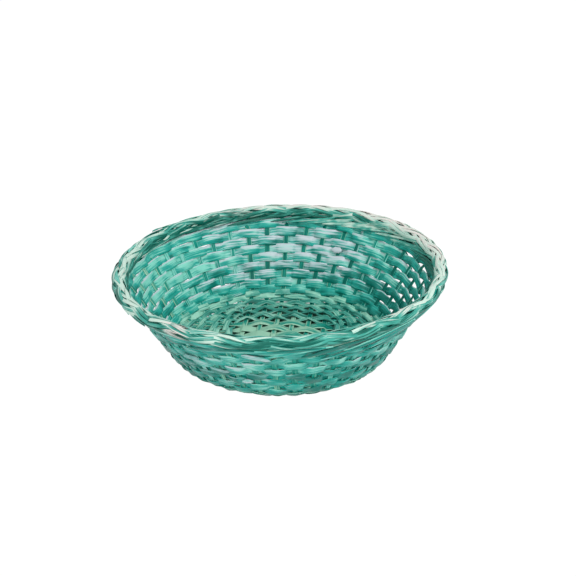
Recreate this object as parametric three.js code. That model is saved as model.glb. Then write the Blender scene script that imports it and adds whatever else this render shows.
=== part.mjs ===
import * as THREE from 'three';

// A shallow round basket woven from split bamboo. Millimetres, +Z up, the foot on z = 0 and the
// basket's axis on Z. Twelve long strips cross in a square mat at the middle of the floor, run on
// as stakes over the foot and up the wall, and twenty shorter stakes fill the four corners between
// them. Narrow weavers lock the floor and wide weavers make the wall. At the rim a thin band holds
// the stake tips on the inside, and four flat strands are plaited round a core just above them.

// Overall shape
const RIM_RADIUS = 120.5;
const RIM_HEIGHT = 66.2;
const FOOT_RADIUS = 72;
const CORNER_RADIUS = 16;
const FLOOR_RISE = 7;

// Split bamboo
const STAKE_WIDTH = 3.8;
const STAKE_THICKNESS = 0.9;
const WEAVER_THICKNESS = 0.9;
const CLEARANCE = 0.3;

// Mat and stakes
const MAT_STRIPS = 6;
const CORNER_STAKES = 5;
const MAT_PITCH = 12.5;
const SLAT_WIDTH = 11;
const SLAT_SHOULDER = 0.6;
const SLAT_TAPER = 6.2;
const CORNER_FAN = 0.7;
const CORNER_LOCK_ROW = 2;

// Weavers
const FLOOR_WEAVER_WIDTH = 3;
const FLOOR_WEAVER_PITCH = 6;
const CORNER_WEAVERS = 3;
const MAT_SQUARENESS = 8;
const WALL_WEAVER_WIDTH = 6;
const WALL_WEAVER_GAP = 0.6;
const SEAT_MARGIN = 0.3;
const SEAT_SHARE = 0.46;
const TURN_STEP = 18;

// Rim
const BAND_WIDTH = 2.6;
const BAND_THICKNESS = 0.8;
const CORE_RADIUS = 1.6;
const CORE_SIDES = 6;
const STRAND_WIDTH = 3.5;
const STRAND_THICKNESS = 0.9;
const STRAND_PASS = 0.8;
const STRANDS_EACH_WAY = 2;
const RIM_TURNS = 4;
const SECTIONS_PER_TURN = 12;

// Where a stake bends: parts of the arc at the foot, and shares of the foot's radius in the floor
const ARC_PARTS = 4;
const FLOOR_BEND_SHARE = 0.86;
const LATE_START_SHARE = 0.93;

// Steps of the searches and slopes
const HALVINGS = 50;
const ANGLE_STEP = 1e-4;
const RADIUS_STEP = 0.01;

const degrees = THREE.MathUtils.degToRad;
const { lerp } = THREE.MathUtils;
const QUARTER = Math.PI / 2;

// Colours of the dyed bamboo
const bamboo = (color, roughness) => new THREE.MeshStandardMaterial({ color, roughness, metalness: 0 });
const finishes = {
  stake: bamboo(0x2f9a84, 0.55),
  slat: bamboo(0xa9cdb4, 0.6),
  floor: bamboo(0x79b79c, 0.6),
  wall: bamboo(0x6fc3ab, 0.5),
  rim: bamboo(0xc3ded0, 0.5),
};

// The mid surface of the weave is a surface of revolution: a floor that rises to a low dome, an
// arc round the foot and a straight wall that leaves the arc along its tangent to reach the rim.
const lift = STAKE_THICKNESS / 2 + CLEARANCE + WEAVER_THICKNESS / 2;
const footHeight = lift + WEAVER_THICKNESS / 2;
const rimAcross = RIM_RADIUS - FOOT_RADIUS;
const rimAbove = RIM_HEIGHT - footHeight - CORNER_RADIUS;
const wallSlope = Math.atan2(rimAbove, rimAcross)
  + Math.asin(CORNER_RADIUS / Math.hypot(rimAcross, rimAbove));
const cornerLength = CORNER_RADIUS * wallSlope;
const wallRadius = FOOT_RADIUS + CORNER_RADIUS * Math.sin(wallSlope);
const wallHeight = footHeight + CORNER_RADIUS * (1 - Math.cos(wallSlope));

function slopeAt(radius) {
  if (radius >= wallRadius) return wallSlope;
  if (radius >= FOOT_RADIUS) return Math.asin((radius - FOOT_RADIUS) / CORNER_RADIUS);
  const turn = Math.PI / FOOT_RADIUS;
  return -Math.atan((FLOOR_RISE / 2) * turn * Math.sin(turn * radius));
}

function heightAt(radius) {
  if (radius >= wallRadius) return wallHeight + (radius - wallRadius) * Math.tan(wallSlope);
  if (radius >= FOOT_RADIUS) return footHeight + CORNER_RADIUS * (1 - Math.cos(slopeAt(radius)));
  return footHeight + (FLOOR_RISE / 2) * (1 + Math.cos((Math.PI * radius) / FOOT_RADIUS));
}

// Radius at a distance measured up the surface from the foot.
function radiusUp(distance) {
  if (distance < cornerLength) return FOOT_RADIUS + CORNER_RADIUS * Math.sin(distance / CORNER_RADIUS);
  return wallRadius + (distance - cornerLength) * Math.cos(wallSlope);
}

// Distance up the surface at which the wall reaches a height.
function distanceTo(height) {
  return cornerLength + (height - wallHeight) / Math.sin(wallSlope);
}

function surfacePoint(x, y) {
  return new THREE.Vector3(x, y, heightAt(Math.hypot(x, y)));
}

// The normal points to the inside of the basket.
function surfaceNormal(x, y) {
  const radius = Math.hypot(x, y);
  const slope = slopeAt(radius);
  const inward = radius > 0 ? -Math.sin(slope) / radius : 0;
  return new THREE.Vector3(x * inward, y * inward, Math.cos(slope));
}

const polar = (radius, angle) => ({ x: radius * Math.cos(angle), y: radius * Math.sin(angle) });

// Carries a flat section along stations, each with a point, a normal, a width and a thickness.
// The section stands square to the path and lies flat on the normal. A closed path joins its ends.
// A mirrored splint splits its facets along the other diagonal, so that two strands that wind
// opposite ways have facets that are mirror images and pass each other evenly.
function splint(stations, closed, mirrored = false) {
  const count = stations.length;
  const corners = [];
  const faces = [];
  stations.forEach((station, i) => {
    const before = stations[closed ? (i + count - 1) % count : Math.max(i - 1, 0)];
    const after = stations[closed ? (i + 1) % count : Math.min(i + 1, count - 1)];
    const along = after.point.clone().sub(before.point);
    const across = station.normal.clone().cross(along).normalize().multiplyScalar(station.width / 2);
    const up = station.normal.clone().multiplyScalar(station.thickness / 2);
    for (const [side, level] of [[-1, -1], [1, -1], [1, 1], [-1, 1]]) {
      corners.push(station.point.clone().addScaledVector(across, side).addScaledVector(up, level));
    }
  });
  const spans = closed ? count : count - 1;
  for (let i = 0; i < spans; i += 1) {
    for (let k = 0; k < 4; k += 1) {
      const next = (k + 1) % 4;
      const ahead = 4 * ((i + 1) % count);
      const [a, b, c, d] = [4 * i + k, 4 * i + next, ahead + next, ahead + k];
      if (mirrored) faces.push(a, b, d, b, c, d);
      else faces.push(a, b, c, a, c, d);
    }
  }
  if (!closed) {
    const last = 4 * (count - 1);
    faces.push(0, 3, 2, 0, 2, 1);
    faces.push(last, last + 1, last + 2, last, last + 2, last + 3);
  }
  const geometry = new THREE.BufferGeometry().setFromPoints(corners);
  geometry.setIndex(faces);
  geometry.computeVertexNormals();
  return geometry;
}

// A station on the basket's surface, raised to the inside by an offset.
function station(x, y, offset, width, thickness) {
  const normal = surfaceNormal(x, y);
  const point = surfacePoint(x, y).addScaledVector(normal, offset);
  return { point, normal, width, thickness };
}

// Stakes
// Each side of the mat sends out one stake for each strip, and each corner has its own stakes, all
// a pitch apart at the wall. A strip stays straight in plan until it meets its own wall angle.
const stakesPerQuarter = MAT_STRIPS + CORNER_STAKES;
const stakePitch = QUARTER / stakesPerQuarter;
const outerRank = (CORNER_STAKES - 1) / 2;
const outermost = ((MAT_STRIPS - 1) / 2) * MAT_PITCH;
const outermostAngle = ((MAT_STRIPS - 1) / 2) * stakePitch;
const fanRadius = outermost / Math.sin(outermostAngle);

function stripAngle(sideways, index, radius) {
  const wallAngle = index * stakePitch;
  const bend = Math.abs(sideways / Math.sin(wallAngle));
  return radius >= bend ? wallAngle : Math.asin(sideways / radius);
}

// Corner stakes draw together towards the mat. The two outer ones keep midway between their
// neighbours, so that the weavers still have room to pass.
function cornerAngle(rank, radius) {
  const inner = stakePitch * Math.min(1, 1 - CORNER_FAN * (1 - radius / fanRadius));
  if (Math.abs(rank) < outerRank) return rank * inner;
  const neighbour = QUARTER / 2 - stripAngle(outermost, (MAT_STRIPS - 1) / 2, radius);
  return Math.sign(rank) * lerp(inner, neighbour, (outerRank - 1) / outerRank);
}

// Every stake in order round the basket, as its angle at a given radius.
const stakes = [];
for (let quarter = 0; quarter < 4; quarter += 1) {
  for (let i = 0; i < stakesPerQuarter; i += 1) {
    const half = MAT_STRIPS / 2;
    const isCorner = i >= half && i < half + CORNER_STAKES;
    if (isCorner) {
      const rank = i - half - outerRank;
      const angleAt = (radius) => quarter * QUARTER + QUARTER / 2 + cornerAngle(rank, radius);
      stakes.push({ rank, angleAt });
    } else {
      const turned = i < half ? 0 : 1;
      const index = i < half ? i + 0.5 : i - stakesPerQuarter + 0.5;
      const angleAt = (radius) => (quarter + turned) * QUARTER + stripAngle(index * MAT_PITCH, index, radius);
      stakes.push({ rank: null, angleAt });
    }
  }
}

// Floor weaver paths
// The innermost weaver follows the square mat with rounded corners, the outermost floor weaver is
// the foot, and those between blend evenly from one to the other.
const slatWideEnd = outermost + STAKE_WIDTH / 2 + SLAT_SHOULDER;
const slatTaperEnd = slatWideEnd + SLAT_TAPER;
const matRing = slatTaperEnd + FLOOR_WEAVER_WIDTH / 2;

function squareRadius(angle) {
  const power = MAT_SQUARENESS;
  return matRing / (Math.abs(Math.cos(angle)) ** power + Math.abs(Math.sin(angle)) ** power) ** (1 / power);
}

const diagonalRoom = FOOT_RADIUS - squareRadius(QUARTER / 2);
const floorSteps = Math.max(1, Math.floor(diagonalRoom / (FLOOR_WEAVER_WIDTH + 2 * CLEARANCE)));
const cornerStart = Math.min(CORNER_LOCK_ROW, floorSteps);
const weaverPaths = [];
for (let step = 0; step <= floorSteps; step += 1) {
  weaverPaths.push((angle) => lerp(squareRadius(angle), FOOT_RADIUS, step / floorSteps));
}
for (let row = 1; row <= CORNER_WEAVERS; row += 1) {
  weaverPaths.push(() => radiusUp(row * FLOOR_WEAVER_PITCH));
}

// First weaver that crosses a stake: all of them for a strip, the third for the middle corner
// stakes and the foot for the outer ones.
function firstWeaver(stake) {
  if (stake.rank === null) return 0;
  return Math.abs(stake.rank) < outerRank ? cornerStart : floorSteps;
}

// Finds where a closed path crosses a stake, by halving the angle between two bounds.
function crossingAngle(stake, path) {
  const wall = stake.angleAt(RIM_RADIUS);
  let low = wall - QUARTER / 2;
  let high = wall + QUARTER / 2;
  for (let i = 0; i < HALVINGS; i += 1) {
    const middle = (low + high) / 2;
    if (middle < stake.angleAt(path(middle))) low = middle;
    else high = middle;
  }
  return (low + high) / 2;
}

// Weavers
// A weaver lies flat over a stake, flat under the next, and slants in between. Where it meets a
// stake at an angle, its flat is longer by what the slant of the stake takes.
function planPoint(path, angle) {
  const { x, y } = polar(path(angle), angle);
  return new THREE.Vector2(x, y);
}

function planDirection(path, angle) {
  const ahead = planPoint(path, angle + ANGLE_STEP);
  return ahead.sub(planPoint(path, angle - ANGLE_STEP)).normalize();
}

function planSpeed(path, angle) {
  const ahead = planPoint(path, angle + ANGLE_STEP);
  return ahead.distanceTo(planPoint(path, angle - ANGLE_STEP)) / (2 * ANGLE_STEP);
}

function seatLength(stake, path, angle, width) {
  const radius = path(angle);
  const outer = polar(radius + RADIUS_STEP, stake.angleAt(radius + RADIUS_STEP));
  const inner = polar(radius - RADIUS_STEP, stake.angleAt(radius - RADIUS_STEP));
  const run = new THREE.Vector2(outer.x - inner.x, outer.y - inner.y).normalize();
  const cosine = Math.abs(run.cross(planDirection(path, angle)));
  const tangent = Math.sqrt(1 - Math.min(cosine, 1) ** 2) / cosine;
  return STAKE_WIDTH / 2 / cosine + (width / 2) * tangent + SEAT_MARGIN;
}

function weaver(path, width, crossed, parity) {
  const crossings = crossed.map((stake, i) => {
    const angle = crossingAngle(stake, path);
    const seat = seatLength(stake, path, angle, width) / planSpeed(path, angle);
    const side = (i + parity) % 2 === 0 ? 1 : -1;
    return { angle, seat, offset: side * lift };
  });
  const count = crossings.length;
  const stations = [];
  const add = (angle, offset) => {
    const { x, y } = polar(path(angle), angle);
    stations.push(station(x, y, offset, width, WEAVER_THICKNESS));
  };
  crossings.forEach((crossing, i) => {
    const next = crossings[(i + 1) % count];
    const nextAngle = next.angle + (i + 1 === count ? 2 * Math.PI : 0);
    const room = SEAT_SHARE * (nextAngle - crossing.angle);
    const previous = crossings[(i + count - 1) % count];
    const previousAngle = previous.angle - (i === 0 ? 2 * Math.PI : 0);
    const roomBefore = SEAT_SHARE * (crossing.angle - previousAngle);
    const leave = crossing.angle + Math.min(crossing.seat, room);
    const reach = nextAngle - Math.min(next.seat, room);
    add(crossing.angle - Math.min(crossing.seat, roomBefore), crossing.offset);
    add(leave, crossing.offset);
    const turn = planDirection(path, leave).angleTo(planDirection(path, reach));
    const extra = Math.floor(turn / degrees(TURN_STEP));
    for (let k = 1; k <= extra; k += 1) {
      const share = k / (extra + 1);
      add(lerp(leave, reach, share), lerp(crossing.offset, next.offset, share));
    }
  });
  return splint(stations, true);
}

// A plain hoop that keeps to one side of the stakes and turns a little at each of them.
function hoop(radius, offset, width, thickness) {
  return splint(stakes.map((stake) => {
    const { x, y } = polar(radius, stake.angleAt(radius));
    return station(x, y, offset, width, thickness);
  }), true);
}

// Rim section
// The wall points at the middle of the core. Its stakes end just short of the strands' corners as
// they pass over the tips, and the inner band lies below the tips.
const innerPass = CORE_RADIUS + CLEARANCE + STRAND_THICKNESS / 2;
const outerPass = innerPass + STRAND_THICKNESS + STRAND_PASS;
const middlePass = (innerPass + outerPass) / 2;
const passSwing = (outerPass - innerPass) / 2;
const overTips = middlePass + passSwing * Math.abs(Math.cos(STRANDS_EACH_WAY * wallSlope));
const rimReach = Math.hypot(overTips + STRAND_THICKNESS / 2, STRAND_WIDTH / 2);
const stakeTop = distanceTo(RIM_HEIGHT) - rimReach - CLEARANCE;
const bandHeight = stakeTop - BAND_WIDTH / 2 - CLEARANCE;
const bandOffset = STAKE_THICKNESS / 2 + CLEARANCE + BAND_THICKNESS / 2;

// Distances up the surface at which every stake bends.
const climb = [];
for (let k = 0; k <= ARC_PARTS; k += 1) climb.push(radiusUp((k / ARC_PARTS) * cornerLength));
const stakeTopRadius = radiusUp(stakeTop);

// A strip of the mat: its middle part is given, and both ends run on as stakes.
function strip(index, direction, middle) {
  const sideways = index * MAT_PITCH;
  const bend = Math.abs(sideways / Math.sin(index * stakePitch));
  const radii = [FLOOR_BEND_SHARE * FOOT_RADIUS, ...climb, bend, stakeTopRadius].sort((a, b) => a - b);
  const end = radii.map((radius) => {
    const angle = stripAngle(sideways, index, radius);
    const along = radius * Math.cos(angle);
    return { along, sideways: radius * Math.sin(angle), offset: 0, width: STAKE_WIDTH };
  });
  const mirrored = end.map((place) => ({ ...place, along: -place.along })).reverse();
  const places = [...mirrored, ...middle, ...end];
  return splint(places.map((place) => {
    const x = direction === 'x' ? place.along : place.sideways;
    const y = direction === 'x' ? place.sideways : place.along;
    return station(x, y, place.offset, place.width, STAKE_THICKNESS);
  }), false);
}

// A narrow splint stays level and the slats wave over and under it.
function narrowMiddle(index) {
  const sideways = index * MAT_PITCH;
  const reach = Math.floor(MAT_STRIPS / 2);
  const places = [];
  for (let k = -reach; k <= reach; k += 1) {
    places.push({ along: k * MAT_PITCH, sideways, offset: 0, width: STAKE_WIDTH });
  }
  return places;
}

function slatMiddle(index, row) {
  const sideways = index * MAT_PITCH;
  const seat = STAKE_WIDTH / 2 + SEAT_MARGIN;
  const places = [];
  const add = (along, offset, width) => places.push({ along, sideways, offset, width });
  add(-slatTaperEnd, 0, STAKE_WIDTH);
  for (let k = 0; k < MAT_STRIPS; k += 1) {
    const centre = (k - (MAT_STRIPS - 1) / 2) * MAT_PITCH;
    const offset = (k + row) % 2 === 0 ? lift : -lift;
    add(k === 0 ? -slatWideEnd : centre - seat, offset, SLAT_WIDTH);
    add(k === MAT_STRIPS - 1 ? slatWideEnd : centre + seat, offset, SLAT_WIDTH);
  }
  add(slatTaperEnd, 0, STAKE_WIDTH);
  return places;
}

function cornerStake(stake) {
  const first = firstWeaver(stake);
  const angle = crossingAngle(stake, weaverPaths[first]);
  const start = (weaverPaths[first - 1](angle) + weaverPaths[first](angle)) / 2 + CLEARANCE;
  const inFloor = start < LATE_START_SHARE * FOOT_RADIUS ? [(start + FOOT_RADIUS) / 2] : [];
  const radii = [start, ...inFloor, ...climb, stakeTopRadius];
  return splint(radii.map((radius) => {
    const { x, y } = polar(radius, stake.angleAt(radius));
    return station(x, y, 0, STAKE_WIDTH, STAKE_THICKNESS);
  }), false);
}

// Plaited rim
// Strands wind round the core both ways. Each one passes over the first that it meets and under
// the next, so its distance from the core swings twice a turn.
function rimStrand(number) {
  const way = number < STRANDS_EACH_WAY ? 1 : -1;
  const start = (2 * Math.PI * number) / STRANDS_EACH_WAY;
  const count = RIM_TURNS * SECTIONS_PER_TURN;
  const stations = [];
  for (let i = 0; i < count; i += 1) {
    const around = (2 * Math.PI * i) / count;
    const turn = RIM_TURNS * around;
    const distance = middlePass + way * passSwing * Math.cos(STRANDS_EACH_WAY * turn);
    const lean = way * turn + start;
    const outward = new THREE.Vector3(Math.cos(around), Math.sin(around), 0);
    const normal = outward.clone().multiplyScalar(Math.cos(lean)).setZ(Math.sin(lean));
    const point = outward.multiplyScalar(RIM_RADIUS).setZ(RIM_HEIGHT).addScaledVector(normal, distance);
    stations.push({ point, normal, width: STRAND_WIDTH, thickness: STRAND_THICKNESS });
  }
  return splint(stations, true, way > 0);
}

// The core is a ring with a polygon for its section, turned about Z.
function rimCore() {
  const profile = [];
  for (let k = 0; k <= CORE_SIDES; k += 1) {
    const { x, y } = polar(CORE_RADIUS, (2 * Math.PI * k) / CORE_SIDES);
    profile.push(new THREE.Vector2(RIM_RADIUS + x, RIM_HEIGHT + y));
  }
  const ring = new THREE.LatheGeometry(profile, RIM_TURNS * SECTIONS_PER_TURN);
  return ring.rotateX(QUARTER);
}

// Assembly
const basket = new THREE.Group();
basket.name = 'basket';

function addPiece(name, geometry, material) {
  const mesh = new THREE.Mesh(geometry, material);
  mesh.name = name;
  basket.add(mesh);
}

for (let k = 0; k < MAT_STRIPS; k += 1) {
  const index = k - (MAT_STRIPS - 1) / 2;
  addPiece(`base_splint_${k + 1}`, strip(index, 'y', narrowMiddle(index)), finishes.stake);
  addPiece(`base_slat_${k + 1}`, strip(index, 'x', slatMiddle(index, k)), finishes.slat);
}

const cornerSet = stakes.filter((stake) => stake.rank !== null);
cornerSet.forEach((stake, i) => {
  addPiece(`corner_stake_${i + 1}`, cornerStake(stake), finishes.stake);
});

weaverPaths.forEach((path, row) => {
  const crossed = stakes.filter((stake) => firstWeaver(stake) <= row);
  addPiece(`floor_weaver_${row + 1}`, weaver(path, FLOOR_WEAVER_WIDTH, crossed, row), finishes.floor);
});

// The wall takes as many wide weavers as fit between the floor weavers and the inner band.
const wallBottom = CORNER_WEAVERS * FLOOR_WEAVER_PITCH + FLOOR_WEAVER_WIDTH / 2;
const wallRoom = bandHeight - BAND_WIDTH / 2 - wallBottom;
const wallRows = Math.floor(wallRoom / (WALL_WEAVER_WIDTH + WALL_WEAVER_GAP));
for (let row = 0; row < wallRows; row += 1) {
  const radius = radiusUp(wallBottom + ((row + 0.5) * wallRoom) / wallRows);
  const geometry = weaver(() => radius, WALL_WEAVER_WIDTH, stakes, row + weaverPaths.length);
  addPiece(`wall_weaver_${row + 1}`, geometry, finishes.wall);
}

const band = hoop(radiusUp(bandHeight), bandOffset, BAND_WIDTH, BAND_THICKNESS);
addPiece('rim_inner_band', band, finishes.rim);
addPiece('rim_core', rimCore(), finishes.stake);
for (let number = 0; number < 2 * STRANDS_EACH_WAY; number += 1) {
  addPiece(`rim_strand_${number + 1}`, rimStrand(number), finishes.rim);
}

export default basket;
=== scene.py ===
# %% [markdown]
# # A bowl basket of dyed split bamboo
# Nearly everything in this basket is one simple thing: a splint, which is a flat strip of split
# bamboo, bent along a path. Stakes run up the wall like ribs, and weavers run round it, over one
# stake and under the next. So the lesson is in two parts: one way to carry a splint's section along
# any path, and then the paths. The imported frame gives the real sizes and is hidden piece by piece.

import math

import bpy
import numpy as np
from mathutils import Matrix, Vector


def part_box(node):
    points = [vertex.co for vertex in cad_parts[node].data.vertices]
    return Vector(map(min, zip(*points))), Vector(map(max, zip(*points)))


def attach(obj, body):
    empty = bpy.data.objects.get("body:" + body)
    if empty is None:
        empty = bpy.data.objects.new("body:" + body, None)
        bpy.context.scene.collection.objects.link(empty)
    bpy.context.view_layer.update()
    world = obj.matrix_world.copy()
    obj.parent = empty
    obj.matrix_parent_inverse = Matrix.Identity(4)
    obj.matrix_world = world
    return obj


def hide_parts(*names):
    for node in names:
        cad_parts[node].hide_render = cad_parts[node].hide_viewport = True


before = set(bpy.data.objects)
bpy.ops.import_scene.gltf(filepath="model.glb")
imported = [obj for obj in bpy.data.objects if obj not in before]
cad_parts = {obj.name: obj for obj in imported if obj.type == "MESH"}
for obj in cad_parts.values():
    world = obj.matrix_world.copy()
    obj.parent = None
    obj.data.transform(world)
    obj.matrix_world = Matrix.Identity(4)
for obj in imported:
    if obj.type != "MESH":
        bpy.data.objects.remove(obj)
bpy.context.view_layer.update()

# %% [markdown]
# ## Sizes
# Blender works in metres and a basket maker in millimetres, so each size is written in millimetres
# times MM. What the frame already knows, such as where the rim and the foot are, is measured from
# its nodes and not typed again.

# %% Sizes that the whole basket shares
MM = 0.001
FULL_TURN = 2 * math.pi
QUARTER = math.pi / 2
UP = np.array([0.0, 0.0, 1.0])
STAKE_WIDTH = 3.8 * MM
SPLINT_THICKNESS = 0.9 * MM
STAKE_THICKNESS = 0.8 * SPLINT_THICKNESS
THIN_SPLINT = 0.65 * MM
CLEARANCE = 0.3 * MM
FLOOR_WEAVER_WIDTH = 3.0 * MM
CORNER_RADIUS = 16 * MM
FLOOR_RISE = 7 * MM
CORE_RADIUS = 1.6 * MM

core_low, core_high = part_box("rim_core")
_, foot_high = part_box("floor_weaver_6")
RIM_HEIGHT = (core_low.z + core_high.z) / 2
RIM_RADIUS = core_high.x - CORE_RADIUS
FOOT_RADIUS = foot_high.x - FLOOR_WEAVER_WIDTH / 2
print("rim radius and height, foot radius:", RIM_RADIUS, RIM_HEIGHT, FOOT_RADIUS)

# %% [markdown]
# ## The surface that the weave lies on
# The stakes follow one surface of revolution: a low dome for the floor, a tight arc round the foot
# and a straight flared wall. Two functions of the radius, height and slope, describe all of it, and
# every piece is placed by them, so splints that cross always meet.

# %% Height, slope and normal of the weave's mid surface
foot_height = SPLINT_THICKNESS + CLEARANCE + SPLINT_THICKNESS / 2
rim_across = RIM_RADIUS - FOOT_RADIUS
rim_above = RIM_HEIGHT - foot_height - CORNER_RADIUS
rim_reach = math.hypot(rim_across, rim_above)
WALL_SLOPE = math.atan2(rim_above, rim_across) + math.asin(CORNER_RADIUS / rim_reach)
corner_length = CORNER_RADIUS * WALL_SLOPE
wall_radius = FOOT_RADIUS + CORNER_RADIUS * math.sin(WALL_SLOPE)
wall_height = foot_height + CORNER_RADIUS * (1 - math.cos(WALL_SLOPE))


def surface_slope(radius):
    """Slope angle at a radius: a cosine dome falls to the foot, then the arc and the wall rise."""
    turn = math.pi / FOOT_RADIUS
    dome = -np.arctan(FLOOR_RISE / 2 * turn * np.sin(turn * radius))
    arc = np.arcsin(np.clip((radius - FOOT_RADIUS) / CORNER_RADIUS, 0, math.sin(WALL_SLOPE)))
    return np.where(radius < FOOT_RADIUS, dome, np.where(radius < wall_radius, arc, WALL_SLOPE))


def surface_height(radius):
    """Height at a radius: half the rise times one plus a cosine, then the arc, then a straight
    line."""
    dome = foot_height + FLOOR_RISE / 2 * (1 + np.cos(math.pi * radius / FOOT_RADIUS))
    arc = foot_height + CORNER_RADIUS * (1 - np.cos(surface_slope(radius)))
    wall = wall_height + (radius - wall_radius) * math.tan(WALL_SLOPE)
    return np.where(radius < FOOT_RADIUS, dome, np.where(radius < wall_radius, arc, wall))


def radius_up(distance):
    """Radius at a distance measured up the surface from the foot: the arc's radius times a sine,
    then the wall's length times the cosine of its slope."""
    arc = FOOT_RADIUS + CORNER_RADIUS * np.sin(np.minimum(distance / CORNER_RADIUS, WALL_SLOPE))
    wall = wall_radius + (distance - corner_length) * math.cos(WALL_SLOPE)
    return np.where(distance < corner_length, arc, wall)


def distance_at(radius):
    """Distance up the surface from the foot at a radius beyond it, the other way round."""
    arc = CORNER_RADIUS * surface_slope(radius)
    wall = corner_length + (radius - wall_radius) / math.cos(WALL_SLOPE)
    return np.where(radius < wall_radius, arc, wall)


def outward_at(angle):
    """Level directions away from the basket's middle line."""
    return np.stack([np.cos(angle), np.sin(angle), np.zeros_like(angle)], axis=-1)


def on_surface(radius, angle, offset):
    """Points at a radius and angle, raised along the normal by an offset, and the normals, which
    point to the inside of the bowl."""
    slope = surface_slope(radius)
    outward = outward_at(angle)
    normal = np.cos(slope)[:, None] * UP - np.sin(slope)[:, None] * outward
    point = radius[:, None] * outward + surface_height(radius)[:, None] * UP
    return point + offset[:, None] * normal, normal


rim_distance = float(distance_at(np.array(RIM_RADIUS)))
print("wall slope in degrees:", round(math.degrees(WALL_SLOPE), 2))
print("from foot to rim along the wall:", round(rim_distance, 4))

# %% [markdown]
# ## A rim that isn't quite true
# A basket woven by hand stands a little out of level and out of round. Each mesh is moved by the
# same small shear as it is made, so pieces that touch stay together.

# %% Tilt and skew of the rim
RIM_TILT = 0.013
RIM_SKEW = 0.035


def settle(points):
    """The shear grows with height from nothing at the foot: the rim stands higher to the right by
    the tilt times x, and is pushed to the right by the skew times y."""
    share = points[..., 2:3] / RIM_HEIGHT
    x, y = points[..., 0:1], points[..., 1:2]
    return points + share * np.concatenate([RIM_SKEW * y, 0 * y, RIM_TILT * x], axis=-1)


print("the rim's right end is moved by:", settle(np.array([RIM_RADIUS, 0, RIM_HEIGHT])))

# %% [markdown]
# ## Wander
# Hand-split bamboo is never quite straight or even. A smooth wander, made of a few cosines with
# random phases, is added to widths, heights and angles. With whole numbers of waves it also closes
# on itself round a hoop. Each piece draws from its own seed, so the basket is the same every time.

# %% Seeded generators and smooth wander
SEED = 24


def draws(*key):
    """A random generator of its own for one piece."""
    return np.random.default_rng([SEED, *key])


def wander(share, waves, rng):
    """Sum of cosines of whole wave numbers up to the given one, each with a random phase and size,
    scaled to stay mostly within one. The share runs from 0 to 1 along the piece."""
    numbers = np.arange(1, waves + 1)
    sizes = rng.normal(size=waves)
    phases = rng.uniform(0, FULL_TURN, waves)
    total = np.cos(FULL_TURN * share[:, None] * numbers + phases) @ sizes
    return total / math.sqrt(waves)


print("wander sample:", wander(np.linspace(0, 1, 3), 4, draws(0)))

# %% [markdown]
# ## One splint
# A splint's section is a thin bar with rounded edges and a slight crown, as bamboo has because it
# is split from a round stem. The section is carried along the path: at each station it stands
# square to the path and lies flat on the normal. Working on whole arrays, a splint of nine hundred
# stations takes a few numpy lines. The mesh also gets a UV map in metres, along and across the
# splint, which the materials use for fibres, and two numbers per point: its dye tone and its wear.

# %% The section
ACROSS = np.array([-1.0, -0.86, -0.6, 0.0, 0.6, 0.86, 1.0])
HALF_THICKNESS = np.array([0.35, 0.94, 1.0, 1.0, 1.0, 0.94, 0.35])
section_across = np.concatenate([ACROSS, ACROSS[::-1]])
section_height = np.concatenate([HALF_THICKNESS, -HALF_THICKNESS[::-1]])
SECTION_POINTS = len(section_across)
section_steps = np.abs(np.diff(np.append(section_across, section_across[0])))
section_perimeter = np.concatenate([[0.0], np.cumsum(section_steps)])

# One for the points on the side that faces into the bowl, on the upper long edge and on both long
# edges of a splint, and less away from an edge.
INSIDE_SHARE = (section_height > 0).astype(float)
TOP_EDGE = np.clip((-section_across - 0.5) / 0.5, 0, 1)
BOTH_EDGES = np.clip((np.abs(section_across) - 0.7) / 0.3, 0, 1)
print("points in a section:", SECTION_POINTS)

# %% The sweep
BLUNT_END = 0.25


def unit(vectors):
    """Vectors divided by their lengths."""
    return vectors / np.linalg.norm(vectors, axis=-1, keepdims=True)


def sweep(centre, normal, width, thickness, crown=0.0, closed=False, roll=0.0, ends=0.0):
    """Carries the section along a path. The side direction is the normal crossed with the path's
    direction. A section point is the centre, plus across times half the width along the side, plus
    height times half the thickness along the normal, plus the crown times one less across squared.
    Where ends is above 0, the width shrinks over that length to a blunt point."""
    count = len(centre)

    def each(value):
        """A column with one number for each station."""
        return np.broadcast_to(np.asarray(value, float), count)[:, None]

    if closed:
        along = np.roll(centre, -1, axis=0) - np.roll(centre, 1, axis=0)
        gaps = np.linalg.norm(np.roll(centre, -1, axis=0) - centre, axis=1)
    else:
        along = np.gradient(centre, axis=0)
        gaps = np.linalg.norm(np.diff(centre, axis=0), axis=1)
    length = np.concatenate([[0.0], np.cumsum(gaps)])
    along = unit(along)
    level_side = unit(np.cross(normal, along))
    level_flat = unit(np.cross(along, level_side))
    turned = each(roll)
    side = np.cos(turned) * level_side + np.sin(turned) * level_flat
    flat = np.cos(turned) * level_flat - np.sin(turned) * level_side
    half = each(width) / 2
    if ends > 0:
        nearest = np.minimum(length, length[-1] - length)[:, None]
        half = half * np.clip(BLUNT_END + (1 - BLUNT_END) * nearest / ends, 0, 1)
    level = section_height * (each(thickness) / 2) + each(crown) * (1 - section_across ** 2)
    points = centre[:, None, :] + (section_across * half)[:, :, None] * side[:, None, :]
    points = points + level[:, :, None] * flat[:, None, :]
    return {"points": points, "length": length, "half": half[:, 0], "closed": closed}


straight = np.linspace(0, 1, 3)[:, None] * np.array([1.0, 0.0, 0.0])
print("shape of a swept sample:", sweep(straight, UP, STAKE_WIDTH, THIN_SPLINT)["points"].shape)


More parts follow.
